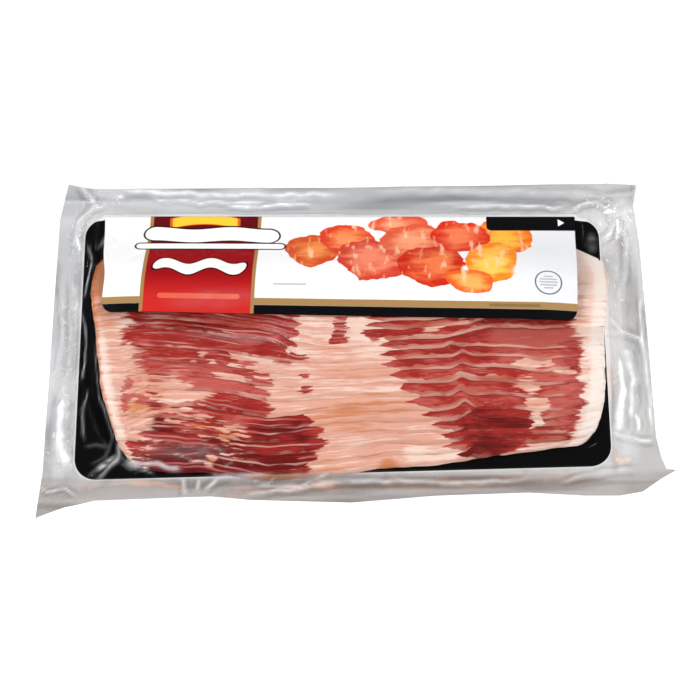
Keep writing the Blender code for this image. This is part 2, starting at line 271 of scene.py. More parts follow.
class Stack:
    """Heights of the slices over one set of places along them."""

    def __init__(self, x):
        self.x = x
        self.fronts = edges_at(x, EDGES)
        self.rears = self.fronts + SLICE_WIDTH
        numbers = np.arange(SLICES)
        smooth_fronts = edges_at(x, SMOOTH_EDGES)
        heights = np.zeros_like(self.fronts)
        for column in range(len(x)):
            fronts = smooth_fronts[:, column]
            under = numbers - np.interp(fronts, fronts + SLICE_WIDTH, numbers)
            levels = SLICE_STEP + under * SLICE_THICKNESS
            heights[:, column] = np.interp(self.fronts[:, column], fronts, levels)
        wave = np.array([0.3 * noise(x / 31, i * 1.3, 4) for i in numbers])
        self.ridges = STACK_BASE + droop(x) * np.maximum(heights + wave, SLICE_STEP)

    def place(self, column, y):
        """Number of front edges passed at y, counted with fractions."""
        return np.interp(y, self.fronts[:, column], np.arange(SLICES))

    def envelope(self, column, y):
        """A line over all front edges, which the slices' surfaces lie on or under."""
        fronts, ridges = self.fronts[:, column], self.ridges[:, column]
        end = self.rears[-1, column]
        height = np.interp(y, np.append(fronts, end), np.append(ridges, STACK_BASE + SLICE_THICKNESS))
        x = self.x[column]
        ceiling = flap_height(x, y) - CARD_THICKNESS / 2 - 0.25
        return np.where(y > flap_lip(x) - 1.0, np.minimum(height, ceiling), height)

    def depth(self, index, column, passed):
        """How far below the envelope a slice's top lies, where some edges are passed."""
        step = step_at(index, self.x[column])
        return step * np.clip(passed, 0, 1) + SLICE_THICKNESS * np.maximum(passed - 1, 0)

    def top(self, index, column, y):
        passed = np.maximum(self.place(column, y) - index, 0)
        pitch = self.fronts[min(index + 1, SLICES - 1), column] - self.fronts[index, column]
        on_step = np.clip(passed, 0, 1)
        bulge = 0.05 * np.clip(pitch, 2, 9) * 4 * on_step * (1 - on_step)
        height = self.envelope(column, y) - self.depth(index, column, passed) + bulge
        return np.maximum(height, STACK_BASE + 0.5)

    def bottom(self, index, column, y):
        passed = np.maximum(self.place(column, y) - index, 0)
        height = self.envelope(column, y) - self.depth(index - 1, column, passed + 1) + 0.04
        return np.maximum(height, STACK_BASE)


def slice_ends(index):
    """Where a slice ends to the left and to the right."""
    return [float(along(outline, np.interp(probe, FINE_X, EDGES[index]) + 3.0))
            for outline, probe in ((LEFT_OUTLINE, LEFT_PROBE), (RIGHT_OUTLINE, RIGHT_PROBE))]


def drawn_out(x, y, left, right):
    """Move places near a slice's ends so that all slices end on one line."""
    near_left = np.clip(1 - (x - left) / END_REACH, 0, 1)
    near_right = np.clip(1 - (right - x) / END_REACH, 0, 1)
    ragged = 0.5 * noise(y / 2.3, 0.0, 5)
    limit = 0.8 * END_REACH
    return (x + near_left * np.clip(along(LEFT_OUTLINE, y) - left + ragged, -limit, limit)
            + near_right * np.clip(along(RIGHT_OUTLINE, y) - right + ragged, -limit, limit))


# ---- colours of the slices

def patch(x, y, middle, half, tilt):
    """1 at the middle of an ellipse, 0 on its outline, less outside it."""
    turn = math.radians(tilt)
    dx, dy = x - middle[0], y - middle[1]
    across = (dx * math.cos(turn) + dy * math.sin(turn)) / half[0]
    up = (-dx * math.sin(turn) + dy * math.cos(turn)) / half[1]
    return 1.0 - np.sqrt(across ** 2 + up ** 2)


def region(x, left, right, left_soft, right_soft):
    """1 between two places, falling through 0 at them, to -1 beyond."""
    from_left = np.clip((x - left) / left_soft, -1, 1)
    from_right = np.clip((right - x) / right_soft, -1, 1)
    return np.minimum(from_left, from_right)


# Where the two long areas of lean start and end along the slices: (y, x).
LEFT_LEAN_START = [(-60, -101), (-52, -99), (-45, -95), (-36, -108), (-28, -99), (-20, -103),
                   (-10, -104), (-2, -110), (8, -113)]
LEFT_LEAN_END = [(-73, -18), (-66, -12), (-60, -7), (-55, -8), (-49, -12), (-47, -33), (-40, -38),
                 (-30, -40), (-20, -44), (-17, -40), (-15, -25), (-8, -22), (0, -19), (8, -20)]
RIGHT_LEAN_START = [(-66, 56), (-58, 49), (-52, 45), (-46, 38), (-41, 30), (-34, 25), (-27, 23),
                    (-20, 20), (-14, 17), (-8, 13), (0, 11)]
RIGHT_LEAN_END = [(-62, 106), (-55, 116), (-40, 122), (-20, 121), (-10, 118), (0, 117)]
# Spots: middle, half length and width, tilt, and for most of them strength.
FAT_SPOTS = [((-32, -75.5), (24, 2.6), 0), ((-91, -33), (15, 5.2), -6), ((-72, -36), (8, 2.0), -6),
             ((-70, -50), (21, 4.2), -18), ((-58, -19), (9, 2.0), -10), ((-50, -16), (7, 1.6), -6),
             ((-56, -26), (8, 1.2), -6), ((91, -34), (7, 3.0), -20), ((97, -43), (5, 2.4), 4),
             ((95, -50), (4, 3.2), 0), ((100, -61), (17, 2.6), 10), ((50, -2), (8, 1.6), 4),
             ((62, 0.5), (12, 1.5), 10), ((-104, -44), (3.5, 9), 20), ((96, -25), (10, 1.0), 0),
             ((108, -30), (8, 0.9), 0)]
LEAN_SPOTS = [((-31, -16), (5, 4.6), 0), ((-24, -19), (7, 3.4), 0), ((-20, -27), (4.4, 3.0), 0),
              ((-19, -34), (3.6, 2.8), 0), ((-1.5, -7.5), (4.4, 3.6), 0), ((0.5, 1), (3.4, 4.2), 0),
              ((15, -4), (5.5, 2.6), 0), ((-107, -36), (5.0, 9.0), 8)]
# Dark spots at the front left are partly the lean's own deep red and partly painted shade.
DARK_SPOTS = [((76, -50), (18, 10), -4, 0.2), ((-92, -51), (13, 5), -4, 1.6),
              ((-30, -56), (24, 11), 0, 0.9), ((66, -64), (18, 4), 8, 1.2), ((-70, 2), (30, 4), 0, 0.35),
              ((-40, -68), (34, 6), 0, 1.6), ((-80, -65), (36, 8), 0, 1.9), ((-62, -42), (30, 4), -4, 0.5),
              ((-70, -62), (60, 12), 0, 0.7)]
PALE_LEAN_SPOTS = [((92, -8), (30, 7), 2, 0.9), ((-66, -31), (26, 3.5), -8, 0.9),
                   ((108, -42), (12, 12), 0, 0.7), ((-107, -36), (10, 13), 0, 2.6),
                   ((98, -24), (20, 12), 0, 0.55), ((129, 18), (9, 12), 0, 1.8),
                   ((-70, -22), (40, 5), -6, 0.3)]
WARM_SPOTS = [((-30, -73), (18, 3.0), 0, 1.0), ((24, -69), (9, 2.6), 6, 1.3),
              ((-69, -51), (25, 7.0), -18, 0.75), ((-125, 30), (6, 24), 4, 0.9),
              ((-118, 6), (7, 6), 0, 0.6), ((133, 34), (5, 9), 0, 0.7), ((-108, -58), (6, 6), 0, 0.9),
              ((5, -47), (40, 11), 0, 0.5), ((12, -28), (24, 6), 0, 0.25), ((92, -18), (26, 2.4), 0, 0.7),
              ((-97, -42), (16, 4), -8, 0.6), ((-104, -60), (6, 8), 20, 0.7)]
WHITE_SPOTS = [((60, -66), (60, 4), 6, 0.5), ((124, -24), (12, 46), 0, 1.2), ((0, -60), (26, 5), 4, 0.15),
               ((-108, 4), (14, 12), 0, 0.5), ((18, -4), (24, 10), 0, 0.8), ((-5, -2), (24, 11), 0, 0.6),
               ((128, 20), (10, 26), 0, 0.9), ((36, -63), (7, 4), 0, 1.0)]
MOTTLED_SPOTS = [((-70, -51), (26, 7.0), -18, 1.2), ((-102, -60), (10, 7), 10, 1.3),
                 ((-66, -66), (26, 4.5), 0, 1.0), ((-64, -14), (14, 8), -8, 0.9),
                 ((92, -16), (26, 4), 0, 0.45), ((-40, -30), (10, 14), 0, 0.8), ((-96, -38), (10, 4), 0, 1.2)]
RED_ROUND = ((76, -51.5), (18.5, 10.5), -4)     # the large even round of lean at the right


def strongest(x, y, spots):
    """The largest of some weighted spots at each place, from 0 to 1."""
    values = [weight * np.clip(1.6 * patch(x, y, middle, half, tilt), 0, 1)
              for middle, half, tilt, weight in spots]
    return np.max(values, axis=0)


class Meat:
    """What colours one slice: into is how far behind its front edge a place lies."""

    def __init__(self, index, x, y, into, pitch):
        self.index, self.x, self.y, self.into, self.pitch = index, x, y, into, pitch
        self.from_left = x - along(LEFT_OUTLINE, y)
        self.from_right = along(RIGHT_OUTLINE, y) - x
        self.strip = y + 0.65 * (pitch / 2 - into)
        self.grain = into + 0.5 * np.clip(-96 - x, 0, 14)
        wander = 1.3 * self.uneven(9, 2.1, 8, into / 3) + 1.8 * self.uneven(4, 3.1, 9, into * 1.3)
        self.place = x + 2.4 * noise(index * 1.7, 0.3, 7) + wander
        self.depth = self.strip + 0.9 * self.uneven(11, 1.3, 10)
        self.deep = strongest(self.place, self.depth, DARK_SPOTS)
        self.round = np.clip(4.0 * patch(self.place, self.depth, *RED_ROUND) + 0.4, 0, 1)
        self.wide = fade(x, 4, 16)
        self.middle = within(x, -112, -100, 108, 118)

    def uneven(self, length, turn, seed, across=0.0):
        """Noise with features of a length along the slice, and other ones for each slice."""
        return noise(self.x / length, self.index * turn + across, seed)

    def areas(self):
        """The two long areas of lean, above 0 inside them."""
        share = np.clip(self.into / self.pitch, 0, 1)
        spindle = 7.0 * np.abs(share - 0.6) ** 1.3
        left_start = along(LEFT_LEAN_START, self.depth) + 4.0 * noise(self.index * 1.3, self.into / 2.5, 20)
        left_end = along(LEFT_LEAN_END, self.depth) - spindle * 1.5
        right_start = along(RIGHT_LEAN_START, self.depth) + spindle * 3.0
        right_end = along(RIGHT_LEAN_END, self.depth)
        return np.maximum(region(self.place, left_start, left_end, 13.0, 5.0),
                          region(self.place, right_start, right_end, 4.0, 8.0))

    def lean(self):
        """Above 0 where the slice is lean, below 0 where it is fat."""
        x, index, depth = self.x, self.index, self.depth
        lean = self.areas()
        strands = self.uneven(9, 2.3, 5, self.grain / 0.7)
        for middle, half, tilt in LEAN_SPOTS:
            lean = np.maximum(lean, 2.2 * patch(self.place, depth, middle, half, tilt))
        for middle, half, tilt in FAT_SPOTS:
            lean = np.minimum(lean, -1.4 * patch(self.place, depth, middle, half, tilt) + 0.5 * strands)
        streak = self.uneven(13, 2.9, 11, self.grain / 0.8)
        lean = lean - 0.55 * np.clip(layered_noise(x / 14, depth / 1.6, 11), 0, 1)
        lean = lean - 0.6 * np.clip(streak - 0.4, 0, 1)
        mottle = strongest(x, self.strip, MOTTLED_SPOTS)
        flecks = 0.16 + layered_noise(x / 6, index * 1.7 + self.into / 1.2, 19)
        lean = lean * (1 - mottle) + mottle * 1.5 * flecks
        return np.maximum(lean, 2.2 * self.round - 1.0)

    def dark(self):
        dark = 0.48 + 0.3 * layered_noise(self.x / 16, self.depth / 2.5, 12)
        dark = dark + 0.16 * float(noise(self.index * 2.3, 3.3, 12))
        dark = dark + 0.5 * self.deep - 0.5 * strongest(self.place, self.depth, PALE_LEAN_SPOTS)
        return dark + 0.2 * self.round

    def warm(self):
        """How orange the fat is: below 0 it is white, above 1 brown."""
        x, y, depth = self.x, self.y, self.depth
        warm = 0.42 + 0.48 * layered_noise(x / 20, self.index * 1.9 + self.grain / 1.6, 13)
        warm = warm + 0.4 * fade(self.uneven(30, 2.6, 4, self.grain / 0.7), 0.2, 0.7)
        rim = hump(self.from_left, 3.0, 2.6) * fade(-y, -6, 8) + fade(-self.from_right, -9, -5)
        outer = hump(self.from_left, 0.2, 1.2) * fade(y, -60, -30)
        warm = warm + 0.75 * strongest(x, depth, WARM_SPOTS) - 0.4 * strongest(x, depth, WHITE_SPOTS)
        return warm - 0.8 * rim + 0.8 * outer

    def seam(self, share, seed):
        """A pale line along the left half, at a share of the width that shows."""
        line = (share + 0.2 * self.uneven(24, 2.7, seed)) * self.pitch
        broken = fade(self.uneven(16, 3.3, seed + 1), -0.6, 0.1)
        return hump(self.into, line, 0.55) * broken * (1 - self.wide)

    def band(self):
        """The pale rope along the front edge, and the seams behind it."""
        ropes = 1.0 - 0.75 * fade(self.x, 64, 80) * fade(self.uneven(7, 2.2, 20), -0.6, 0.3)
        ragged = 0.6 * self.uneven(9, 1.9, 14) + 0.7 * self.uneven(2.6, 2.9, 18)
        width = 1.2 + 1.2 * self.wide * ropes + ragged
        soft_edge = 0.9 - 0.4 * self.wide
        band = fade(width - self.into, -soft_edge, soft_edge) * (0.8 + 0.35 * self.uneven(8, 1.9, 15))
        band = band * (1 - self.round) * self.middle
        band = band * (0.7 + 0.3 * self.wide) * (1 - 0.5 * np.clip(self.deep, 0, 1))
        for share, seed in ((0.34, 16), (0.66, 21)):
            band = np.maximum(band, 0.9 * self.seam(share, seed) * self.middle)
        return band

    def crease(self):
        """The shade where the next slice comes down on this one."""
        near_next = fade(self.into, self.pitch - 0.9, self.pitch + 0.2)
        strength = 0.7 + 0.5 * self.uneven(12, 1.4, 6)
        return near_next * self.middle * strength * (1 - 0.6 * self.round)

    def tint(self):
        """The rope's own colour, from pale through pink to brown, with a painted highlight just at the front
        edge.
        """
        return 0.5 + 0.6 * self.uneven(12, 2.6, 22, self.into / 4) - 0.4 * hump(self.into, 0.3, 0.45)

    def fields(self):
        """The fields of the mesh's two attributes, as shares from 0 to 1."""
        fields = {"meat": (0.5 + 0.5 * self.lean(), self.dark(), (self.warm() + 1.0) / 3.0),
                  "edges": (self.band(), self.crease(), self.tint())}
        return {name: np.clip(values, 0, 1) for name, values in fields.items()}


# ---- meshes

def add_object(name, data):
    thing = bpy.data.objects.new(name, data)
    bpy.context.scene.collection.objects.link(thing)
    return thing


def new_object(name, points, faces, origin=(0.0, 0.0, 0.0)):
    mesh = bpy.data.meshes.new(name)
    points = (np.asarray(points, float) + np.array(origin)) * MM
    mesh.from_pydata(points.tolist(), [], [list(map(int, face)) for face in faces])
    mesh.update()
    thing = add_object(name, mesh)
    mesh.shade_smooth()
    return thing


def float_attribute(thing, name, values):
    layer = thing.data.attributes.new(name, "FLOAT", "POINT")
    layer.data.foreach_set("value", np.asarray(values, np.float32).ravel())


def colour_attribute(thing, name, red, green, blue):
    layer = thing.data.attributes.new(name, "FLOAT_COLOR", "POINT")
    values = np.stack([red, green, blue, np.ones_like(red)], -1)
    layer.data.foreach_set("color", values.astype(np.float32).ravel())


def point_uv(thing, name, u, v):
    """A UV map with one place for each vertex."""
    layer = thing.data.uv_layers.new(name=name)
    corners = np.zeros(len(thing.data.loops), int)
    thing.data.loops.foreach_get("vertex_index", corners)
    layer.data.foreach_set("uv", np.stack([u[corners], v[corners]], -1).ravel())


def grid_faces(rows, columns):
    a = np.arange(rows * columns).reshape(rows, columns)
    return np.stack([a[:-1, :-1], a[:-1, 1:], a[1:, 1:], a[1:, :-1]], -1).reshape(-1, 4)


VISIBLE_ROWS = 15
HIDDEN_ROWS = 6
SLICE_COLUMNS = 236
END_ZONE = 3.6
END_COLUMNS = np.array([0.0, 0.15, 0.5, 1.0, 1.7, 2.6])     # places within a rounded end
NOSE_ANGLES = np.radians([-75, -35, 0, 35, 70])             # round a firm front edge
SOFT_NOSE = np.array([0.0, 0.02, 0.25, 0.6, 1.0])           # along a soft front edge


def slice_places(left, right):
    """Places along a slice, closer together at its rounded ends."""
    inner = left + END_ZONE + (right - left - 2 * END_ZONE) * np.linspace(0, 1, SLICE_COLUMNS)
    return np.concatenate([left + END_COLUMNS, inner, right - END_COLUMNS[::-1]])


def softness(x):
    """1 where the slices' edges are soft fat or pressed ends, 0 where they stand up."""
    return max(0.5 + 0.4 * float(hump(x, 2.0, 26.0)), 1.0 - float(within(x, -126, -106, 112, 130)))


def slice_ring(stack, index, column, from_end):
    """One closed section across a slice: y, height, distance into it, and the width that shows."""
    place = stack.x[column]
    front = stack.fronts[index, column]
    rear = stack.rears[index, column] + 0.8 * float(noise(place / 12, index, 15))
    shown_to = front + 6.0
    if index < SLICES - 1:
        shown_to = stack.fronts[index + 1, column] + 1.0
    shown_to = min(max(shown_to, front + 2.0), rear - 3.0)
    pitch = max(shown_to - 1.0 - front, 1.5)
    taper = math.sqrt(max(1.0 - (1.0 - min(from_end / 3.0, 1.0)) ** 2, 0.0)) * 0.6 + 0.4
    soft = softness(place)
    half = 0.5 * taper * (stack.top(index, column, front) - stack.bottom(index, column, front))
    hard_run, hard_rise = 1 - np.cos(NOSE_ANGLES), (1 + np.sin(NOSE_ANGLES)) / 2
    nose_y = front + (1 - soft) * half * hard_run + soft * min(2.2, 0.4 * pitch) * SOFT_NOSE
    rise = (1 - soft) * hard_rise + soft * ease(SOFT_NOSE)
    nose_low = stack.bottom(index, column, nose_y)
    nose_z = nose_low + taper * rise * (stack.top(index, column, nose_y) - nose_low)
    top_y = np.concatenate([np.linspace(nose_y[-1] + 0.05, shown_to, VISIBLE_ROWS),
                            np.linspace(shown_to, rear, HIDDEN_ROWS + 1)[1:]])
    floor_z = stack.bottom(index, column, top_y)
    top_z = floor_z + taper * (stack.top(index, column, top_y) - floor_z)
    ring_y = np.concatenate([nose_y, top_y, top_y[::-1]])
    ring_z = np.concatenate([nose_z, top_z, floor_z[::-1] - 0.02])
    into = np.clip(ring_y - front, 0, None)
    into[:len(nose_y)] = (nose_y - front) * soft
    return ring_y, ring_z, into, pitch


def tube_faces(rings, count):
    """Faces of a tube of closed rings, with a face over either end."""
    ids = np.arange(rings * count).reshape(rings, count)
    following = np.roll(ids, -1, axis=1)
    faces = np.stack([ids[:-1], ids[1:], following[1:], following[:-1]], -1).reshape(-1, 4).tolist()
    return faces + [ids[0].tolist(), ids[-1][::-1].tolist()]


def make_slice(index):
    left, right = slice_ends(index)
    x = slice_places(left, right)
    stack = Stack(x)
    rings, intos, pitches = [], [], []
    for column, place in enumerate(x):
        ring_y, ring_z, into, pitch = slice_ring(stack, index, column, min(place - left, right - place))
        rings.append(np.stack([drawn_out(place, ring_y, left, right), ring_y, ring_z], -1))
        intos.append(into)
        pitches.append(pitch)
    rings = np.array(rings)
    faces = tube_faces(*rings.shape[:2])
    thing = new_object(f"bacon_{index + 1:02d}", rings.reshape(-1, 3), faces, (CARD_X, CARD_Y, 0))
    meat = Meat(index, rings[:, :, 0], rings[:, :, 1], np.array(intos), np.array(pitches)[:, None])
    for name, fields in meat.fields().items():
        colour_attribute(thing, name, *fields)
    u = 0.01 + 0.98 * (rings[:, :, 0].ravel() - left) / (right - left)
    across = np.concatenate([np.linspace(0.0, 0.08, len(NOSE_ANGLES)), np.linspace(0.1, 0.62, VISIBLE_ROWS),
                             np.linspace(0.62, 0.8, HIDDEN_ROWS + 1)[1:],
                             np.linspace(0.82, 1.0, VISIBLE_ROWS + HIDDEN_ROWS)])
    point_uv(thing, "OFBake", np.clip(u, 0, 1), 0.005 + 0.98 * np.tile(across, len(x)))
    thing.data.materials.append(BACON)
    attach(thing, BODY)
    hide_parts(SLICE_NODES[index])


# ---- shader expressions

def fill(slot, item):
    """Link a Value or a socket to a node's input, or set the input to a plain value."""
    if isinstance(item, Value):
        item = item.socket
    if isinstance(item, bpy.types.NodeSocket):
        Value.tree.links.new(item, slot)
    else:
        slot.default_value = item


def set_inputs(node, **inputs):
    """Fill a node's inputs by name, with _ for a space."""
    for name, item in inputs.items():
        fill(node.inputs[name.replace("_", " ")], item)


def add_node(kind, *items, **named):
    """A new node: its first inputs in order, then inputs and (in lower case) settings by name."""
    node = Value.tree.nodes.new("ShaderNode" + kind)
    for name, item in named.items():
        if name.islower():
            setattr(node, name, item)
        else:
            set_inputs(node, **{name: item})
    for slot, item in zip(node.inputs, items):
        fill(slot, item)
    return node


def math_method(operation, turned=False):
    """A method of Value that adds a Math node; turned puts the value last."""
    def method(self, *others):
        inputs = (*others, self) if turned else (self, *others)
        return Value(add_node("Math", *inputs, operation=operation).outputs[0])
    return method


class Value:
    """A number on a node tree; arithmetic on it adds Math nodes."""

    tree = None
    __add__ = __radd__ = math_method("ADD")
    __sub__ = math_method("SUBTRACT")
    __rsub__ = math_method("SUBTRACT", turned=True)
    __mul__ = __rmul__ = math_method("MULTIPLY")
    __truediv__ = math_method("DIVIDE")
    power = math_method("POWER")
    sine = math_method("SINE")
    size = math_method("ABSOLUTE")
    least = math_method("MINIMUM")
    most = math_method("MAXIMUM")

    def __init__(self, socket):
        self.socket = socket

    def fade(self, start, end):
        """0 at start, 1 at end, smooth between them."""
        return Value(add_node("MapRange", self, start, end, interpolation_type="SMOOTHSTEP").outputs[0])


def mix_colours(factor, first, second):
    """Blend two colours by a Value or a number."""
    node = add_node("Mix", factor, data_type="RGBA")
    fill(node.inputs[6], first)
    fill(node.inputs[7], second)
    return node.outputs[2]


def mix_shaders(factor, first, second):
    return add_node("MixShader", factor, first.outputs[0], second.outputs[0])


def srgb(red, green, blue):
    """A colour from 0 to 255 as a screen shows it, made linear, with full cover."""
    return (*((value / 255) ** 2.2 for value in (red, green, blue)), 1.0)


def new_material(name):
    """A material, and its shader; the nodes made next go on its tree."""
    material = bpy.data.materials.new(name)
    material.use_nodes = True
    Value.tree = material.node_tree
    return material, material.node_tree.nodes["Principled BSDF"]


def attribute(name, output):
    return add_node("Attribute", attribute_name=name).outputs[output]


def split(socket):
    return [Value(output) for output in add_node("SeparateXYZ", socket).outputs]


def object_place():
    return add_node("TexCoord").outputs["Object"]


def noise_node(scale, stretch=(1.0, 1.0, 1.0), detail=3.0, roughness=0.5, distortion=0.0):
    """Noise in the object's own space; scale is in features for each metre."""
    mapping = add_node("Mapping", object_place(), Scale=stretch)
    texture = add_node("TexNoise", mapping.outputs[0], Scale=scale, Detail=detail, Roughness=roughness,
                       Distortion=distortion)
    return Value(texture.outputs["Fac"])


# ---- materials

def lean_colour(tone, threads):
    """From pink through crimson to dark red, with pale marbling where it isn't dark."""
    colour = mix_colours(tone.fade(0.1, 0.5), srgb(200, 94, 84), srgb(168, 46, 40))
    colour = mix_colours(tone.fade(0.5, 1.05), colour, srgb(106, 14, 16))
    marbling = threads.fade(0.60, 0.68) * (1.0 - tone.fade(0.7, 1.0)) * 0.55
    return mix_colours(marbling, colour, srgb(226, 150, 140))


def fat_colour(heat):
    """From white through cream and orange to brown."""
    colour = mix_colours(heat.fade(0.1, 0.5), srgb(250, 216, 200), srgb(234, 174, 154))
    colour = mix_colours(heat.fade(-0.7, 0.1), srgb(255, 238, 228), colour)
    colour = mix_colours(heat.fade(0.6, 1.2), colour, srgb(216, 140, 98))
    return mix_colours(heat.fade(1.3, 2.0), colour, srgb(188, 98, 50))


def rope_colour(tint):
    """The pale edges of the slices, on the left pinker than on the right."""
    across = split(object_place())[0]
    colour = mix_colours(across.fade(-0.02, 0.03), srgb(196, 114, 112), srgb(202, 124, 106))
    colour = mix_colours(tint.fade(0.55, 0.95), colour, srgb(190, 86, 58))
    # Low tint gives pale rope; right at the front edge it is a painted highlight.
    return mix_colours(tint.fade(0.45, 0.05), colour, srgb(228, 176, 160))


def make_bacon_material():
    """Crimson lean and cream fat from the mesh's fields, broken up by fibres, and wet."""
    material, shader = new_material("bacon")
    lean, dark, warm = split(attribute("meat", "Color"))
    band, crease, tint = split(attribute("edges", "Color"))
    fibres = noise_node(60, (1.0, 8.0, 8.0), detail=4.0, roughness=0.6)
    threads = noise_node(90, (1.0, 16.0, 16.0), roughness=0.55)
    blotches = noise_node(150, (1.0, 2.0, 2.0))
    grain = noise_node(900, (1.0, 2.0, 2.0), detail=2.0)

    def broken_up(value, *strengths):
        for pattern, strength in zip((fibres, threads, blotches), strengths):
            value = value + (pattern - 0.5) * strength
        return value

    is_lean = broken_up(lean, 0.35, 0.3, 0.2).fade(0.42, 0.60)
    tone = broken_up(dark, 0.8, 0.9, 0.5)
    heat = broken_up(warm * 3.0 - 1.0, 0.6, 0.9, 0.4)
    colour = mix_colours(is_lean, fat_colour(heat), lean_colour(tone, threads))
    pale = (band + (blotches - 0.5) * 0.5 + (threads - 0.5) * 0.4).fade(0.3, 0.7) * is_lean * 0.7
    colour = mix_colours(pale, colour, rope_colour(tint))
    shadow = mix_colours(is_lean, srgb(206, 118, 92), srgb(110, 22, 18))
    colour = mix_colours(crease * (is_lean * 0.3 + 0.3), colour, shadow)
    colour = mix_colours(0.2, colour, srgb(0, 0, 0))
    relief = fibres + threads * 0.6 + grain * 0.2
    bump = add_node("Bump", Strength=0.4, Distance=0.0006, Height=relief)
    set_inputs(shader, Base_Color=colour, Roughness=(grain - 0.5) * 0.25 + 0.32,
               Specular_IOR_Level=0.28, Subsurface_Weight=0.0, Normal=bump.outputs[0])
    return material


def film_colour(stain, bright, crinkle, ripples):
    """Grey film: bluer at the rear right, browner in front and where it is crinkled or stained, and white
    where highlights and reflections are painted.
    """
    across, up = split(object_place())[:2]
    grey = mix_colours((across * -2.2 + up * 4.0).fade(-0.35, 0.45), srgb(93, 90, 86), srgb(80, 85, 93))
    grey = mix_colours(up.fade(-0.066, -0.076), grey, srgb(102, 90, 84))
    grey = mix_colours(crinkle * 0.8, grey, srgb(106, 99, 93))
    juice = (stain + (ripples - 0.5) * 0.5).fade(0.25, 0.95)
    colour = mix_colours(juice, grey, srgb(196, 140, 108))
    # white where highlights and reflections are painted
    return mix_colours((bright * 2.2).least(1.0), colour, srgb(248, 249, 252))


def make_film_material():
    """Clear film: nearly nothing over the contents, grey where the webs lie together, partly their own haze
    and partly painted shade.
    """
    material, body = new_material("film")
    # The haze attribute's third share is the painted highlights and reflections.
    cover, stain, white = split(attribute("haze", "Color"))
    ripples = noise_node(110, detail=4.0, distortion=0.8)
    flecks = noise_node(420, distortion=1.2)
    crinkle = Value(attribute("crinkle", "Fac"))
    # White specks in the crinkles are painted glints; bright adds them to the painted highlights and
    # reflections.
    painted_glints = crinkle * flecks.fade(0.60, 0.72)
    bright = (white + painted_glints * 0.5).least(1.0)
    set_inputs(body, Base_Color=film_colour(stain, bright, crinkle, ripples), Roughness=0.4,
               Specular_IOR_Level=0.0)
    clear = add_node("BsdfTransparent")
    haze = mix_shaders((cover + bright * 0.7).least(0.95), clear, body)
    bump = add_node("Bump", Strength=0.6, Distance=0.0008, Height=ripples + crinkle * flecks * 0.8)
    gloss = add_node("BsdfGlossy", Color=srgb(255, 255, 255), Roughness=0.08, Normal=bump.outputs[0])
    fresnel = add_node("Fresnel", IOR=1.45, Normal=bump.outputs[0])
    level = split(add_node("NewGeometry").outputs["True Normal"])[2].size().fade(0.45, 0.85)
    shine = Value(fresnel.outputs[0]) * (crinkle * 0.8 + 0.14) * (level * 0.8 + 0.2)
    whole = mix_shaders(shine, haze, gloss)
    # Shadow rays pass the film untouched, so the shade it would cast is painted into its grey cover instead.
    is_shadow = add_node("LightPath").outputs["Is Shadow Ray"]
    lit_through = mix_shaders(is_shadow, whole, clear)
    set_inputs(Value.tree.nodes["Material Output"], Surface=lit_through.outputs[0])
    return material


# A generic picture of warm rounded forms: middle, half size, tilt, edge colour, inner colour.
PETALS = [((-15, 44), (15, 14), 12, (204, 78, 36), (238, 142, 80)),
          ((3, 53), (15, 12), -20, (216, 66, 40), (244, 146, 90)),
          ((15, 36), (17, 17), -24, (204, 66, 48), (238, 134, 104)),
          ((30, 66), (15, 6), 4, (220, 84, 60), (246, 160, 124)),
          ((36, 52), (17, 14), 18, (214, 92, 62), (246, 160, 120)),
          ((48, 33), (17, 15), -20, (198, 44, 28), (236, 122, 74)),
          ((84, 55), (14, 15), -16, (232, 104, 30), (250, 180, 70)),
          ((62, 55), (15, 13), -6, (210, 50, 32), (240, 126, 84)),
          ((77, 35), (14, 16), -14, (236, 132, 36), (252, 200, 92)),
          ((66, 20), (12, 7), -14, (222, 96, 40), (248, 170, 90))]
# Short bars: middle, half size, strength, colour.
STAMP_MIDDLE = (105.5, 20.0)
STAMP_GREY = (120, 122, 128)
STAMP_BARS = [((STAMP_MIDDLE[0], STAMP_MIDDLE[1] + lift), (length, 0.4), 0.6, STAMP_GREY)
              for lift, length in ((-3.2, 2.4), (-1.6, 4.4), (0.0, 4.8), (1.6, 4.4), (3.2, 2.4))]
GREY_BAR = ((-26.0, 17.0), (8.5, 0.5), 0.7, (150, 152, 156))
LOW_BARS = [((-72.5, 9.5), (21.0, 1.5), 0.55, (240, 120, 90)), ((88.0, 6.9), (13.0, 0.8), 0.7, (120, 96, 60))]
# Outlined bands on the red panel: middle, half size, height of the waves, waves, colour.
BANDS = [((-67.5, 57.3), (35.0, 5.4), 0.9, 0.16, (252, 251, 246)),
         ((-68.0, 47.3), (38.5, 2.4), 0.0, 0.0, (250, 250, 248)),
         ((-72.5, 29.0), (24.0, 4.0), 2.6, 0.27, (250, 244, 234))]
PANEL_X = -72.3
RIBBON_X, RIBBON_Y = -71.5, 69.0
PRINT_SOFT = 0.2                    # blur of the print's outlines
PRINT_WIDTH, PRINT_HEIGHT = 300.0, 100.0    # what the UV map named print covers from 0 to 1


def below(value, limit):
    return 1.0 - value.fade(limit - PRINT_SOFT, limit + PRINT_SOFT)


def between(value, low, high):
    return value.fade(low - PRINT_SOFT, low + PRINT_SOFT) * below(value, high)


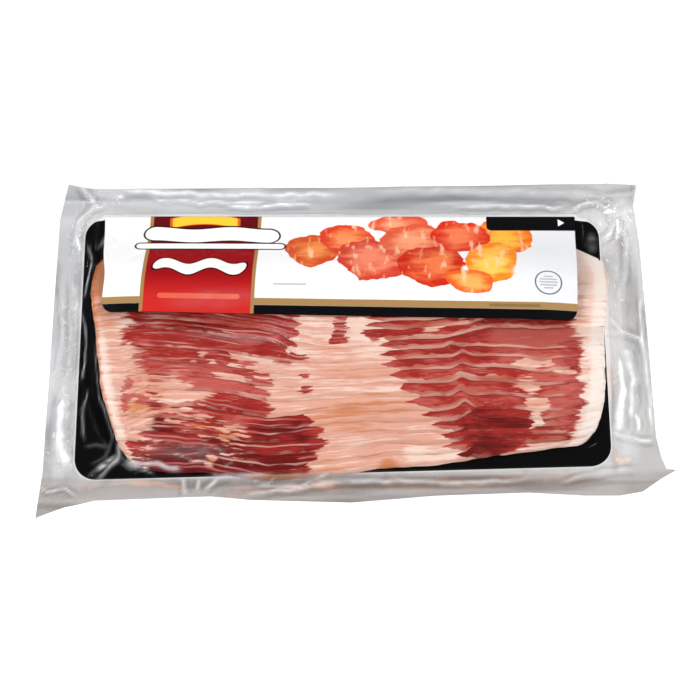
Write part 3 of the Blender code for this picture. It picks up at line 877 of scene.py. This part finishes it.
class Print:
    """The flap's print in millimetres from its middle and its lip; later paint covers earlier."""

    def __init__(self, x, y):
        self.x, self.y = x, y
        # The paper is painted darker towards the fold and towards the right end: painted shade.
        self.colour = mix_colours(y.fade(55.0, 72.0), srgb(237, 237, 238), srgb(230, 230, 230))
        self.paint(x.fade(40.0, 125.0), (222, 223, 226))
        self.paint(y.fade(70.5, 73.0), (195, 180, 158))

    def paint(self, mask, colour):
        self.colour = mix_colours(mask, self.colour, srgb(*colour))

    def ellipse(self, middle, half, tilt):
        """1 on the outline of an ellipse and less inside it."""
        turn = math.radians(tilt)
        dx, dy = self.x - middle[0], self.y - middle[1]
        u = (dx * math.cos(turn) + dy * math.sin(turn)) / half[0]
        v = (dy * math.cos(turn) - dx * math.sin(turn)) / half[1]
        return (u * u + v * v).power(0.5)

    def box(self, middle, half, radius, lift=0.0, waves=0.0):
        """0 on the outline of a rounded box and less inside it; waves run along it."""
        dx, dy = self.x - middle[0], self.y - middle[1]
        if lift:
            dy = dy - (dx * waves).sine() * lift
        out_x = (dx.size() - (half[0] - radius)).most(0.0)
        out_y = (dy.size() - (half[1] - radius)).most(0.0)
        return (out_x * out_x + out_y * out_y).power(0.5) - radius

    def bar(self, middle, half, strength, colour):
        self.paint(below(self.box(middle, half, half[1]), 0.0) * strength, colour)

    def picture(self):
        warp = (noise_node(60) - 0.5) * 0.9
        streaks = (noise_node(90, (1.0, 3.0, 3.0), detail=4.0) - 0.5) * 1.4
        marks = noise_node(75, (3.0, 1.0, 1.0)).fade(0.56, 0.70) * 0.75
        for middle, half, tilt, edge, inner in PETALS:
            ring = self.ellipse(middle, half, tilt) + warp
            petal = mix_colours((ring + streaks).fade(0.2, 1.0), srgb(*inner), srgb(*edge))
            petal = mix_colours(marks, petal, srgb(250, 206, 168))
            self.colour = mix_colours(below(ring * half[1], half[1]), self.colour, petal)

    def black_tab(self):
        self.paint(below(self.box((110.0, 72.0), (34.0, 10.5), 2.6), 0.0), (16, 16, 18))
        ahead = self.x - 113.5
        arrow = (self.y - 66.8).size() * 1.5 + ahead
        self.paint(below(arrow, 3.2) * ahead.fade(-0.2, 0.2), (250, 250, 250))

    def stamp(self):
        ring = (self.ellipse(STAMP_MIDDLE, (6.6, 6.6), 0) - 1.0).size() * 6.6
        self.paint(below(ring, 0.35), (90, 92, 98))
        for bar in STAMP_BARS:
            self.bar(*bar)

    def strips(self):
        """Black and gold along the lip."""
        self.paint(between(self.y, -5.0, 5.0), (14, 14, 16))
        self.paint(between(self.y, 5.0, 8.9), (162, 128, 82))

    def red_panel(self):
        offset = (self.x - ((self.y - 35.0) * 0.035 + PANEL_X)).size()
        red = mix_colours(self.y.fade(6.0, 26.0), srgb(196, 44, 40), srgb(150, 18, 26))
        red = mix_colours(self.y.fade(34.0, 60.0), red, srgb(98, 18, 26))
        self.paint(below(offset, 29.2), (162, 124, 78))
        self.colour = mix_colours(below(offset, 27.4), self.colour, red)

    def ribbon(self):
        from_middle = self.x - RIBBON_X
        bow = from_middle * from_middle * 0.010
        height = (self.y + bow - RIBBON_Y).size()
        for half_height, half_length, colour in ((3.6, 18.5, (214, 96, 28)), (3.0, 17.0, (246, 196, 60))):
            self.paint(below(height, half_height) * below(from_middle.size(), half_length), colour)

    def bands(self):
        for middle, half, lift, waves, colour in BANDS:
            shape = self.box(middle, half, half[1], lift, waves)
            self.paint(below(shape, 1.0), (38, 16, 18))
            self.paint(below(shape, 0.0), colour)


def make_card_material():
    """Black coated card, with its print where the mesh says that it is printed."""
    material, shader = new_material("card")
    across, up, _ = split(add_node("UVMap", uv_map="print").outputs[0])
    printed = Value(attribute("printed", "Fac")).fade(0.4, 0.6)
    front = Print((across - 0.5) * PRINT_WIDTH, up * PRINT_HEIGHT)
    front.picture()
    front.black_tab()
    front.stamp()
    front.bar(*GREY_BAR)
    front.strips()
    front.red_panel()
    front.ribbon()
    front.bands()
    for bar in LOW_BARS:
        front.bar(*bar)
    colour = mix_colours(printed, srgb(10, 10, 12), front.colour)
    set_inputs(shader, Base_Color=colour, Roughness=0.5, Specular_IOR_Level=0.03)
    return material


# ---- card

FLAP_ROWS = 60
FOLD_ROWS = 8
CARD_COLUMNS = 141
COLUMN_SPREAD = math.pi / 2 * 0.86  # crowds the columns towards the card's ends
# Soft creases pressed into the flap: middle, half length and width, tilt, rise.
DENTS = [((-106, 44), (10, 3.5), 38, -0.7), ((-100, 33), (8, 3), -30, -0.5),
         ((96, 50), (14, 3), -25, -0.5), ((112, 34), (8, 3), 60, -0.4)]


def dent(x, y):
    return sum(rise * np.clip(patch(x, y, middle, half, tilt), 0, 1) ** 1.5
               for middle, half, tilt, rise in DENTS)


def round_corner(start, end, count):
    """How far the card's outline lies in from its end and its side, round one corner."""
    for turn in np.radians(np.linspace(start, end, count)):
        yield CARD_CORNER * (1 - math.sin(turn)), CARD_CORNER * (1 - math.cos(turn))


def card_profile():
    """Rows of (y, height, half length, middle) from the card's front edge round to its fold."""
    height = PANEL_BASE + CARD_THICKNESS / 2
    half_x, half_y = CARD_LENGTH / 2, CARD_DEPTH / 2
    rows = [(-half_y + back, height, half_x - inset, 0.0) for inset, back in round_corner(0, 90, 13)]
    rows += [(y, height, half_x, 0.0)
             for y in np.linspace(-half_y + CARD_CORNER, half_y - CARD_CORNER, 24)[1:-1]]
    rows += [(half_y - back, height, half_x - inset, 0.0) for inset, back in round_corner(90, 30, 9)]
    middle_y, middle_z = half_y - FOLD_RADIUS, height + FOLD_RADIUS
    rows += [(middle_y + FOLD_RADIUS * math.cos(turn), middle_z + FOLD_RADIUS * math.sin(turn),
              FLAP_LENGTH_AT_FOLD / 2, FLAP_MIDDLE) for turn in np.radians(np.linspace(-50, 75, FOLD_ROWS))]
    return rows


def flap_edge(side, y, inset):
    """Place of the flap's side edges, which are not quite straight."""
    bend = 1.5 * hump(y, 30.0, 11.0) if side < 0 else 0.0
    return FLAP_MIDDLE + side * (flap_half(y) - inset - bend)


def flap_shares():
    """The share of the flap that its round corners take, and places from fold (0) to lip (1)."""
    corner = FLAP_CORNER / (CARD_DEPTH / 2 - FOLD_RADIUS - FLAP_LIP)
    shares = list(np.linspace(0, 1 - corner, FLAP_ROWS)[1:])
    return corner, shares + list(1 - corner * (1 - np.sin(np.radians(np.linspace(10, 90, 9)))))


def flap_row(share, corner, sides):
    """Points along the flap at one share of the way from its fold to its lip."""
    fold_y = CARD_DEPTH / 2 - FOLD_RADIUS
    past = min(max(share - (1 - corner), 0) / corner, 1.0)
    inset = FLAP_CORNER * (1 - math.sqrt(1 - past ** 2))
    row = []
    for side in sides:
        lip = flap_lip(FLAP_MIDDLE + side * FLAP_LENGTH_AT_LIP / 2)
        plain_y = fold_y + share * (lip - fold_y)
        x = flap_edge(side, plain_y, inset)
        start_y = fold_y * splay(x)
        y = start_y + share * (lip - start_y)
        sag = min(share * 4, 1) * (0.2 * noise(x / 30, y / 22, 16) + dent(x, y))
        row.append((x, y, float(flap_height(x, plain_y) + sag)))
    return row


def thickened(sheet):
    """Points and faces of a sheet of rows and columns with the card's thickness; outer side first."""
    rows, columns = sheet.shape[:2]
    normal = np.cross(np.gradient(sheet, axis=0), np.gradient(sheet, axis=1))
    normal /= np.linalg.norm(normal, axis=2)[:, :, None]
    outer = sheet + normal * CARD_THICKNESS / 2
    inner = sheet - normal * CARD_THICKNESS / 2
    if outer[5, 5, 2] > inner[5, 5, 2]:
        outer, inner = inner, outer
    count = rows * columns
    ids = np.arange(count).reshape(rows, columns)
    faces = grid_faces(rows, columns)
    rim = np.concatenate([ids[0, :-1], ids[:-1, -1], ids[-1, :0:-1], ids[:0:-1, 0]])
    rim_faces = np.stack([rim, np.roll(rim, -1), np.roll(rim, -1) + count, rim + count], -1)
    faces = np.concatenate([faces, faces[:, ::-1] + count, rim_faces[:, ::-1]])
    return np.concatenate([outer.reshape(-1, 3), inner.reshape(-1, 3)]), faces


def make_card():
    sides = np.sin(np.linspace(-1, 1, CARD_COLUMNS) * COLUMN_SPREAD) / math.sin(COLUMN_SPREAD)
    points = [[(middle + half * side, y * splay(half * side), z) for side in sides]
              for y, z, half, middle in card_profile()]
    corner, shares = flap_shares()
    sheet = np.array(points + [flap_row(share, corner, sides) for share in shares])
    card = new_object("card_sheet", *thickened(sheet), (CARD_X, CARD_Y, 0))
    rows, columns = sheet.shape[:2]
    steps = np.linalg.norm(np.diff(sheet[:, columns // 2], axis=0), axis=1)
    travelled = np.concatenate([[0], np.cumsum(steps)])
    from_lip = np.repeat((travelled[-1] - travelled) / PRINT_HEIGHT, columns)
    across = (sheet[:, :, 0] / PRINT_WIDTH + 0.5).ravel()
    point_uv(card, "print", np.tile(across, 2), np.tile(from_lip, 2))
    length = np.repeat(travelled / travelled[-1], columns)
    point_uv(card, "OFBake", np.tile(0.005 + 0.99 * across, 2),
             np.concatenate([0.30 + 0.695 * length, 0.005 + 0.28 * length]))
    on_flap = np.zeros((rows, columns))
    on_flap[rows - len(shares) - FOLD_ROWS // 2:] = 1.0
    float_attribute(card, "printed", np.concatenate([on_flap.ravel(), 0 * on_flap.ravel()]))
    card.data.materials.append(CARD)
    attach(card, BODY)
    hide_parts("card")


# ---- film

GRID_X = np.arange(-164.0, 165.0, 1.0)
GRID_Y = np.arange(-98.0, 98.0, 1.0)


def contents_height():
    """Height of what lies under the film, over the grid, in the pack's own frame."""
    x, y = GRID_X - CARD_X, GRID_Y - CARD_Y
    grid_x, grid_y = np.meshgrid(x, y)
    half_y = CARD_DEPTH / 2
    height = np.where(outside_card(*np.meshgrid(GRID_X, GRID_Y)) <= 0, PANEL_TOP, 0.0)
    plain_y = grid_y / splay(grid_x)
    on_flap = np.abs(grid_x - FLAP_MIDDLE) <= flap_half(grid_y)
    on_flap &= (grid_y >= flap_lip(grid_x)) & (plain_y <= half_y + 0.5)
    flap_top = flap_height(grid_x, np.minimum(plain_y, half_y)) + CARD_THICKNESS / 2
    height = np.where(on_flap, flap_top, height)
    stack = Stack(x)
    left_ends, right_ends = along(LEFT_OUTLINE, y), along(RIGHT_OUTLINE, y)
    for index in range(SLICES):
        for column in np.nonzero((x > FINE_X[0]) & (x < FINE_X[-1]))[0]:
            inside = (y >= stack.fronts[index, column]) & (y <= stack.rears[index, column])
            inside &= (x[column] >= left_ends) & (x[column] <= right_ends)
            top = stack.top(index, column, y)
            height[inside, column] = np.maximum(height[inside, column], top[inside])
    return height


def shifted(values, dx, dy):
    """An array moved by whole cells, with its border repeated."""
    rows = np.clip(np.arange(values.shape[0]) - dy, 0, values.shape[0] - 1)
    columns = np.clip(np.arange(values.shape[1]) - dx, 0, values.shape[1] - 1)
    return values[np.ix_(rows, columns)]


NEIGHBOURS = [(dx, dy) for dx in (-1, 0, 1) for dy in (-1, 0, 1) if (dx, dy) != (0, 0)]


def draped(height):
    """The contents' height with the film drawn over it, which bridges steep sides."""
    widened = height.copy()
    for dx, dy in NEIGHBOURS:
        widened = np.maximum(widened, shifted(height, dx, dy))
    film = widened.copy()
    for _ in range(16):
        for dx, dy in NEIGHBOURS:
            film = np.maximum(film, shifted(film, dx, dy) - FILM_SLOPE * math.hypot(dx, dy))
    smooth = blurred(blurred(film, 1.6, 0), 1.6, 1)
    return np.maximum(smooth, widened) + FILM_CLEARANCE


def sample(field, x, y):
    """Read a grid field at places in the pack's frame."""
    x = np.clip(x - GRID_X[0], 0, len(GRID_X) - 1.001)
    y = np.clip(y - GRID_Y[0], 0, len(GRID_Y) - 1.001)
    column, row = x.astype(int), y.astype(int)
    return read_between(field, (row, row + 1), (column, column + 1), x - column, y - row)


def film_point(x, y):
    """Move a point of the plain rectangle out to the pouch's real outline."""
    left, right, front, rear = FILM_RECT
    half_x, half_y = CARD_LENGTH / 2, CARD_DEPTH / 2
    near_left = np.clip((CARD_X - half_x - x) / (CARD_X - half_x - left), 0, 1)
    near_right = np.clip((x - CARD_X - half_x) / (right - CARD_X - half_x), 0, 1)
    near_front = np.clip((-half_y - y) / (-half_y - front), 0, 1)
    near_rear = np.clip((y - half_y) / (rear - half_y), 0, 1)
    shift_x = near_left * (along(FILM_LEFT, y) - left) + near_right * (along(FILM_RIGHT, y) - right)
    shift_y = near_front * (along(FILM_FRONT, x) - front) + near_rear * (along(FILM_REAR, x) - rear)
    return x + shift_x, y + shift_y


def outside_card(x, y):
    """How far a place in the pack's frame lies outside the card's outline."""
    dx = np.maximum(np.abs(x - CARD_X) - CARD_LENGTH / 2 + CARD_CORNER, 0)
    dy = np.maximum(np.abs((y - CARD_Y) / splay(x - CARD_X)) - CARD_DEPTH / 2 + CARD_CORNER, 0)
    return np.hypot(dx, dy) - CARD_CORNER


# Corners of the film that stand up: place, reach, rise.
LIFTED_CORNERS = [((-155, 92), 14, 2.0), ((148, 90), 9, 3.2), ((-158, -92), 14, 1.6), ((156, -70), 12, 1.2)]
# Where the film is crinkled: place, reach, strength.
CRINKLED_PLACES = [((-134, 74), 15, 1.0), ((132, 66), 19, 1.0), ((-150, -58), 9, 0.8),
                   ((-147, 20), 10, 0.6), ((136, 20), 12, 0.6), ((-146, -20), 10, 0.6)]
# Folds and stretched ridges of the film: half width, height, strength of the highlight painted along it, and
# the line each follows.
CREASES = [
    (1.6, 1.3, 0.35, [(-146, 93), (-141, 87), (-137, 80)]),
    (1.4, 0.8, 0.3, [(-147, 50), (-147, 62), (-144, 73), (-139, 80), (-131, 82.5)]),
    (1.2, 0.7, 0.8, [(-146, 66), (-144.5, 54)]),
    (2.0, 0.8, 0.5, [(-128, 91), (-93, 88.5), (-50, 86.5), (0, 87)]),
    (1.2, 0.6, 0.5, [(-109, 85.5), (-82, 83), (-40, 82.5)]),
    (1.2, 0.6, 0.6, [(-70, 81), (-49, 80), (-20, 81)]),
    (1.2, 0.6, 0.5, [(50, 78), (77, 78.5), (98, 78), (112, 76)]),
    (2.4, 0.7, 0.2, [(3, 88), (40, 88), (109, 86), (132, 83)]),
    (1.3, 1.0, 0.4, [(113, 73.5), (119, 78), (128, 80), (134, 75), (137, 66), (134, 60), (127, 56)]),
    (1.2, 0.7, 0.3, [(126, 84), (136, 78), (140, 66), (142, 51), (140, 33), (136, 22)]),
    (1.1, 0.9, 0.9, [(131, 73), (137, 74.5)]),
    (1.0, 0.9, 0.8, [(138, 70), (139, 62), (137, 57)]),
    (2.2, 2.0, 1.0, [(134.5, -12), (135.5, -29), (131.5, -53)]),
    (2.0, 1.5, 0.7, [(138, -3), (140.5, -23), (138.5, -46)]),
    (1.0, 0.9, 0.9, [(142, -41), (142.5, -51)]),
    (1.4, 0.9, 0.5, [(127, 5), (137, 4.5), (146, 1), (149, -10)]),
    (1.3, 0.8, 0.5, [(129, -52), (135, -53), (143, -56), (150, -56)]),
    (1.0, 0.5, 0.6, [(147.5, 30), (147.5, 5), (148.5, -28), (149.5, -55)]),
    (2.4, 1.6, 0.8, [(-148.5, -26), (-151, -46), (-149, -57), (-144, -66)]),
    (0.9, 0.6, 0.3, [(-158, -77), (-155, -79.5), (-146, -78.5), (-140, -83)]),
    (2.0, 1.6, 0.6, [(-131, -74), (-125, -69), (-119, -62), (-118, -56)]),
    (2.0, 1.4, 0.7, [(-118, -64), (-112, -67.5), (-99, -67.5), (-86, -71)]),
    (1.6, 0.9, 0.25, [(-137, -57), (-131, -55), (-122, -58)]),
    (1.3, 0.9, 0.25, [(-134, -66), (-126, -62), (-121, -52)]),
    (1.4, 0.8, 0.25, [(-87, -73), (-86, -82)]),
    (1.4, 0.9, 0.3, [(-77, -80), (-70, -74), (-62, -72)]),
    (1.2, 0.7, 0.3, [(-80, -80), (-79, -74)]),
    (1.3, 0.6, 0.25, [(-66, -84), (-28, -79), (-6, -76), (22, -76), (57, -77), (100, -75)]),
    (1.2, 0.6, 0.25, [(-53, -78), (-28, -78), (-12, -73)]),
    (1.4, 0.6, 0.2, [(-148, 20), (-146, 0), (-147, -18)]),
    (1.2, 0.5, 0.25, [(-154, 40), (-151, 10), (-153, -20)]),
    (1.3, 0.5, 0.2, [(100, -78), (125, -72), (140, -72)]),
    (1.3, 1.8, 0.7, [(148.5, 93), (150, 87), (148, 80)]),
    (1.0, 0.5, 0.6, [(-92, -62), (-82, -66), (-74, -66)]),
    (0.9, 0.3, 0.4, [(-132, -4), (-131, -20), (-128, -36), (-124, -48), (-120, -58)]),
    (1.0, 0.3, 0.5, [(-120, -62), (-111, -69), (-100, -72)]),
    (1.2, 0.8, 0.7, [(-139, 60), (-138, 40), (-139, 22)]),
    (1.0, 0.8, 0.7, [(-140, 16), (-138, -4), (-140, -20)]),
    (1.0, 0.7, 0.6, [(-137, -24), (-139, -40), (-137, -54)]),
    (0.9, 0.5, 0.4, [(-78, -58), (-68, -61), (-62, -67), (-67, -70)]),
    (0.9, 0.5, 0.3, [(-98, -57), (-88, -60), (-78, -58), (-70, -55)]),
    (0.8, 0.4, 0.2, [(-40, -74), (-44, -77), (-52, -76)]),
    (0.8, 0.4, 0.5, [(122, -10), (124.5, -30), (122, -46)]),
]


def distance_to_line(x, y, points):
    """Distance from places to a line through points, and 0..1 along it."""
    nearest = np.full(np.shape(x), 1e9)
    share = np.zeros(np.shape(x))
    count = len(points) - 1
    for number, ((ax, ay), (bx, by)) in enumerate(zip(points, points[1:])):
        length = math.hypot(bx - ax, by - ay)
        part = np.clip(((x - ax) * (bx - ax) + (y - ay) * (by - ay)) / length ** 2, 0, 1)
        gap = np.hypot(x - ax - part * (bx - ax), y - ay - part * (by - ay))
        share = np.where(gap < nearest, (number + part) / count, share)
        nearest = np.minimum(nearest, gap)
    return nearest, share


def tapered(share, start, full):
    """Fades a line out towards both its ends."""
    return fade(share, start, full) * fade(1 - share, start, full)


def creases(x, y):
    """Height of the named folds, the highlight painted on them and the shade painted beside them."""
    height, white, shade = 0.0, 0.0, 0.0
    bent_x = x + 0.8 * noise(x / 6, y / 6, 1)
    bent_y = y + 0.8 * noise(x / 6, y / 6, 2)
    for width, rise, highlight_strength, points in CREASES:
        gap, share = distance_to_line(bent_x, bent_y, points)
        ends = tapered(share, -0.02, 0.15)
        ridge = np.clip(1 - gap / (2.0 * width), 0, 1)
        height = np.maximum(height, rise * ridge ** 1.3 * (0.4 + 0.6 * ends))
        # a painted highlight along each fold, and painted shade beside it
        white = np.maximum(white, highlight_strength * ends * np.clip(1 - gap / (1.1 * width), 0, 1))
        shade = np.maximum(shade, ends * hump(gap / width, 1.9, 0.7))
    return height, white, shade


def crinkled(x, y):
    """Where the film is finely crinkled: round the card's edge and most at its rear corners."""
    outside = outside_card(x, y)
    zone = 0.0
    for middle, reach, weight in CRINKLED_PLACES:
        zone = np.maximum(zone, weight * mound(x, y, middle, reach))
    band = fade(outside, 0.3, 1.8) * (1 - fade(outside, 6.0, 10.0))
    along_sides = fade(np.abs(x - CARD_X) - CARD_LENGTH / 2, -2.0, 1.0)
    return np.clip(fade(outside, 0.3, 2.0) * zone * 1.2 + 0.45 * band * along_sides, 0, 1)


def flange_height(x, y):
    """How far the sealed border waves up from the table."""
    away = fade(outside_card(x, y), 1.0, 14.0)
    wave = 0.25 + 0.35 * noise(x / 40, y / 40, 17) + 0.15 * noise(x / 15, y / 15, 18)
    lift = sum(rise * mound(x, y, corner, reach) for corner, reach, rise in LIFTED_CORNERS)
    return away * np.maximum(wave, 0.03) + lift


def turned(y, lengthwise, crosswise):
    """One pattern in front of the card and behind it, another at its ends."""
    share = fade(np.abs(y) - CARD_DEPTH / 2, -4.0, 6.0)
    return lengthwise * share + crosswise * (1 - share)


def wrinkles(x, y):
    """Relief of the film itself: streaks along the border, crinkles round the card."""
    border = fade(outside_card(x, y), -1.0, 4.0)
    streaks = turned(y, ridged(x / 34, y / 3.6, 19), ridged(x / 3.6, y / 30, 20))
    curls = ridged(x / 6.0 + 0.8 * noise(x / 7, y / 7, 21), y / 5.5, 22) + 0.5 * ridged(x / 3.1, y / 3.4, 3)
    relief = border * 0.25 * streaks + crinkled(x, y) * curls
    return relief + 0.12 * layered_noise(x / 9, y / 4, 23) * (1 - border)


def film_grid():
    left, right, front, rear = FILM_RECT
    u = np.linspace(left, right, int(round((right - left) / FILM_STEP)) + 1)
    v = np.linspace(front, rear, int(round((rear - front) / FILM_STEP)) + 1)
    return film_point(*np.meshgrid(u, v))


def make_film(name, node, x, y, height, cover, stain, white, crinkle):
    rows, columns = height.shape
    film = new_object(name, np.dstack([x, y, height]).reshape(-1, 3), grid_faces(rows, columns))
    colour_attribute(film, "haze", cover, stain, white)
    float_attribute(film, "crinkle", crinkle)
    across, up = np.meshgrid(np.linspace(0.005, 0.995, columns), np.linspace(0.005, 0.995, rows))
    point_uv(film, "OFBake", across.ravel(), up.ravel())
    film.data.materials.append(FILM)
    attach(film, BODY)
    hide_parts(node)


# Meat juice that has run out round the card: strength, half width, and the line it follows.
STAINS = [(0.9, 2.4, [(-137, -79), (-129, -75.5), (-116, -74.5), (-99, -76), (-84, -78)]),
          (0.75, 2.6, [(-70, -82), (-50, -80.5), (-28, -78.5), (-8, -77)]),
          (0.5, 6.0, [(-90, -78), (-28, -78), (30, -77), (87, -76), (122, -73)]),
          (1.0, 2.6, [(126.5, 6), (127, -11), (129, -26), (129.5, -36)]),
          (0.9, 2.2, [(127, -60), (131, -66), (139, -66)]),
          (0.5, 1.6, [(20, -79), (60, -79), (90, -78)]),
          (0.45, 2.5, [(-131, 81), (-100, 77), (-60, 77)])]
# Milky reflections painted into the film: strength, middle, half length and width, tilt.
PAINTED_REFLECTIONS = [(0.24, (-86, -61.5), (32, 5.0), -3), (0.5, (-110, -66.8), (10, 2.6), -8),
         (0.7, (-127, -66), (11, 2.4), 38), (0.20, (-117, -31), (7, 9), 0),
         (0.22, (-62, -4), (38, 4), -4), (0.3, (124, 55), (4, 8), 0), (0.30, (-130, 56), (7, 5), 0),
         (0.35, (-146, 18), (3.0, 38), 1), (0.3, (-148, -30), (3, 22), 4), (0.3, (-60, -73), (20, 2.2), 0),
         (0.18, (140, -26), (11, 30), 0), (0.25, (-130, 88), (12, 5), -8), (0.3, (140, 72), (8, 14), 0),
         (0.15, (-151, -48), (5, 26), 0), (0.25, (138, 30), (5, 24), 0), (0.2, (-92, 83.5), (42, 4.5), 0),
         (0.25, (-30, 83), (22, 2.5), -1), (0.2, (-70, 15), (34, 8), 3)]


def film_cover(x, y, shade):
    """How much the film hides: little over the contents, more where the webs lie together, partly as painted
    shade.
    """
    outside = outside_card(x, y)
    at_rear = fade(y, 72, 78)
    rear = at_rear * (0.07 + 0.06 * within(x, -70, 30, 100, 135))
    # A darker band just behind the card's rear edge is painted shade.
    rear = rear + at_rear * 0.14 * hump(outside, 1.0, 3.0) * fade(x, -60, 0)
    front = fade(-y, 70, 76) * (0.17 + 0.12 * hump(x, 5, 85.0))
    sides = 0.06 * fade(-x, 138, 146) + 0.08 * fade(x, 128, 140) * fade(-y, 44, 62)
    dim = turned(y, fade(noise(x / 45, y / 3.4, 9), 0.1, 0.8), fade(noise(x / 5, y / 30, 10), 0.1, 0.8))
    cover = 0.27 + 0.06 * layered_noise(x / 30, y / 14, 2) + rear + front + sides + 0.13 * dim + 0.12 * shade
    return 0.012 + fade(outside, -0.3, 1.2) * cover


def film_stain(x, y):
    """Where meat juice has run out round the card."""
    stain = 0.0
    for strength, width, line in STAINS:
        gap, share = distance_to_line(x, y, line)
        stain = np.maximum(stain, strength * hump(gap, 0.0, width) * tapered(share, -0.05, 0.1))
    return np.clip(stain * (0.75 + 0.35 * layered_noise(x / 16, y / 5, 3)), 0, 1)


def film_highlights(x, y, border, folds):
    """Painted highlights and reflections of the film: on its folds, in milky patches and as streaks of sheen
    in the flange.
    """
    reflection = 0.0
    for strength, *shape in PAINTED_REFLECTIONS:
        reflection = np.maximum(reflection, strength * np.clip(1.5 * patch(x, y, *shape), 0, 1))
    sheen = turned(y, fade(noise(x / 40, y / 3.0, 8), 0.1, 0.8), fade(noise(x / 4.5, y / 26, 12), 0.2, 0.9))
    white = folds * (0.75 + 0.4 * layered_noise(x / 5, y / 5, 4))
    white = np.maximum(white, reflection * (0.7 + 0.5 * layered_noise(x / 7, y / 3, 6)))
    return np.maximum(white, border * sheen * (0.17 - 0.08 * fade(-y, 66, 74)))


def make_films():
    x, y = film_grid()
    outside = outside_card(x, y)
    border = fade(outside, -0.3, 1.2)
    base = sample(draped(contents_height()), x, y)
    flange = flange_height(x, y)
    ridge, folds, shade = creases(x, y)
    relief = np.maximum(wrinkles(x, y), 0) + ridge
    upper = np.maximum(base * (1 - fade(outside, 8.0, 16.0)), flange + 0.25) + relief
    lower = np.where(outside < 0, 0.05, 0.05 + flange)
    cover = film_cover(x, y, shade)
    stain = film_stain(x, y) * border
    # white: the highlights and reflections painted into the film
    white = film_highlights(x, y, border, folds)
    crinkle = crinkled(x, y)
    make_film("upper_web", "front_film", x, y, upper, cover + 0.25 * stain, stain, white, crinkle)
    make_film("lower_web", "back_film", x, y, lower, 0.9 * cover, stain, 0 * white, 0 * crinkle)


# ---- stage, lights, camera

CAMERA_TARGET = Vector((-2.95, -3.57, 0.0)) * MM
CAMERA_AZIMUTH = 1.92
CAMERA_ELEVATION = 65.88
CAMERA_ROLL = -2.47
CAMERA_DISTANCE = 1130.7 * MM
CAMERA_LENS = 113.1


def make_camera():
    turn, rise, roll = (math.radians(a) for a in (CAMERA_AZIMUTH, CAMERA_ELEVATION, CAMERA_ROLL))
    back = Vector((math.sin(turn) * math.cos(rise), -math.cos(turn) * math.cos(rise), math.sin(rise)))
    right = (-back).cross(Vector((0, 0, 1))).normalized()
    up = right.cross(-back)
    right, up = right * math.cos(roll) + up * math.sin(roll), up * math.cos(roll) - right * math.sin(roll)
    camera = add_object("camera", bpy.data.cameras.new("camera"))
    camera.data.lens = CAMERA_LENS
    camera.data.clip_start = 0.05
    rotation = Matrix((right, up, back)).transposed().to_4x4()
    camera.matrix_world = Matrix.Translation(CAMERA_TARGET + back * CAMERA_DISTANCE) @ rotation
    bpy.context.scene.camera = camera


# Lights, which all look at the pack: name, place, size, power.
LIGHTS = [("left_key", (-1.0, -0.72, 1.05), (0.7, 0.7), 11.6),
          ("right_key", (1.0, -0.72, 1.05), (0.7, 0.7), 10.8),
          ("left_strip", (-1.3, 0.15, 0.85), (0.2, 1.0), 6.5),
          ("right_strip", (1.3, 0.15, 0.9), (0.2, 1.0), 6.0),
          ("right_fill", (0.95, 0.75, 1.15), (0.5, 0.5), 7.5),
          ("left_fill", (-0.95, 0.75, 1.15), (0.5, 0.5), 5.5)]
FLOOR_HALF = 4.0
FLOOR_DROP = 0.0002
WHITE = (1.0, 1.0, 1.0, 1.0)


def make_light(name, place, size, power):
    light = bpy.data.lights.new(name, "AREA")
    light.shape = "RECTANGLE"
    light.size, light.size_y = size
    light.energy = power
    lamp = add_object(name, light)
    lamp.location = place
    lamp.rotation_euler = (-Vector(place)).to_track_quat("-Z", "Y").to_euler()


def make_floor():
    mesh = bpy.data.meshes.new("floor")
    corners = [(FLOOR_HALF * x, FLOOR_HALF * y, 0) for x, y in ((-1, -1), (1, -1), (1, 1), (-1, 1))]
    mesh.from_pydata(corners, [], [(0, 1, 2, 3)])
    floor = add_object("floor", mesh)
    floor.location.z = -FLOOR_DROP
    material, shader = new_material("floor")
    set_inputs(shader, Base_Color=(0.5, 0.5, 0.5, 1.0), Roughness=0.9, Specular_IOR_Level=0.0,
               Emission_Color=WHITE, Emission_Strength=0.6)
    mesh.materials.append(material)


def make_stage():
    make_floor()
    world = bpy.data.worlds.new("studio")
    world.use_nodes = True
    set_inputs(world.node_tree.nodes["Background"], Color=WHITE, Strength=0.17)
    bpy.context.scene.world = world
    for light in LIGHTS:
        make_light(*light)
    bpy.context.scene.view_settings.view_transform = "Standard"


BACON = make_bacon_material()
CARD = make_card_material()
FILM = make_film_material()
for number in range(SLICES):
    make_slice(number)
make_card()
make_films()
make_stage()
make_camera()
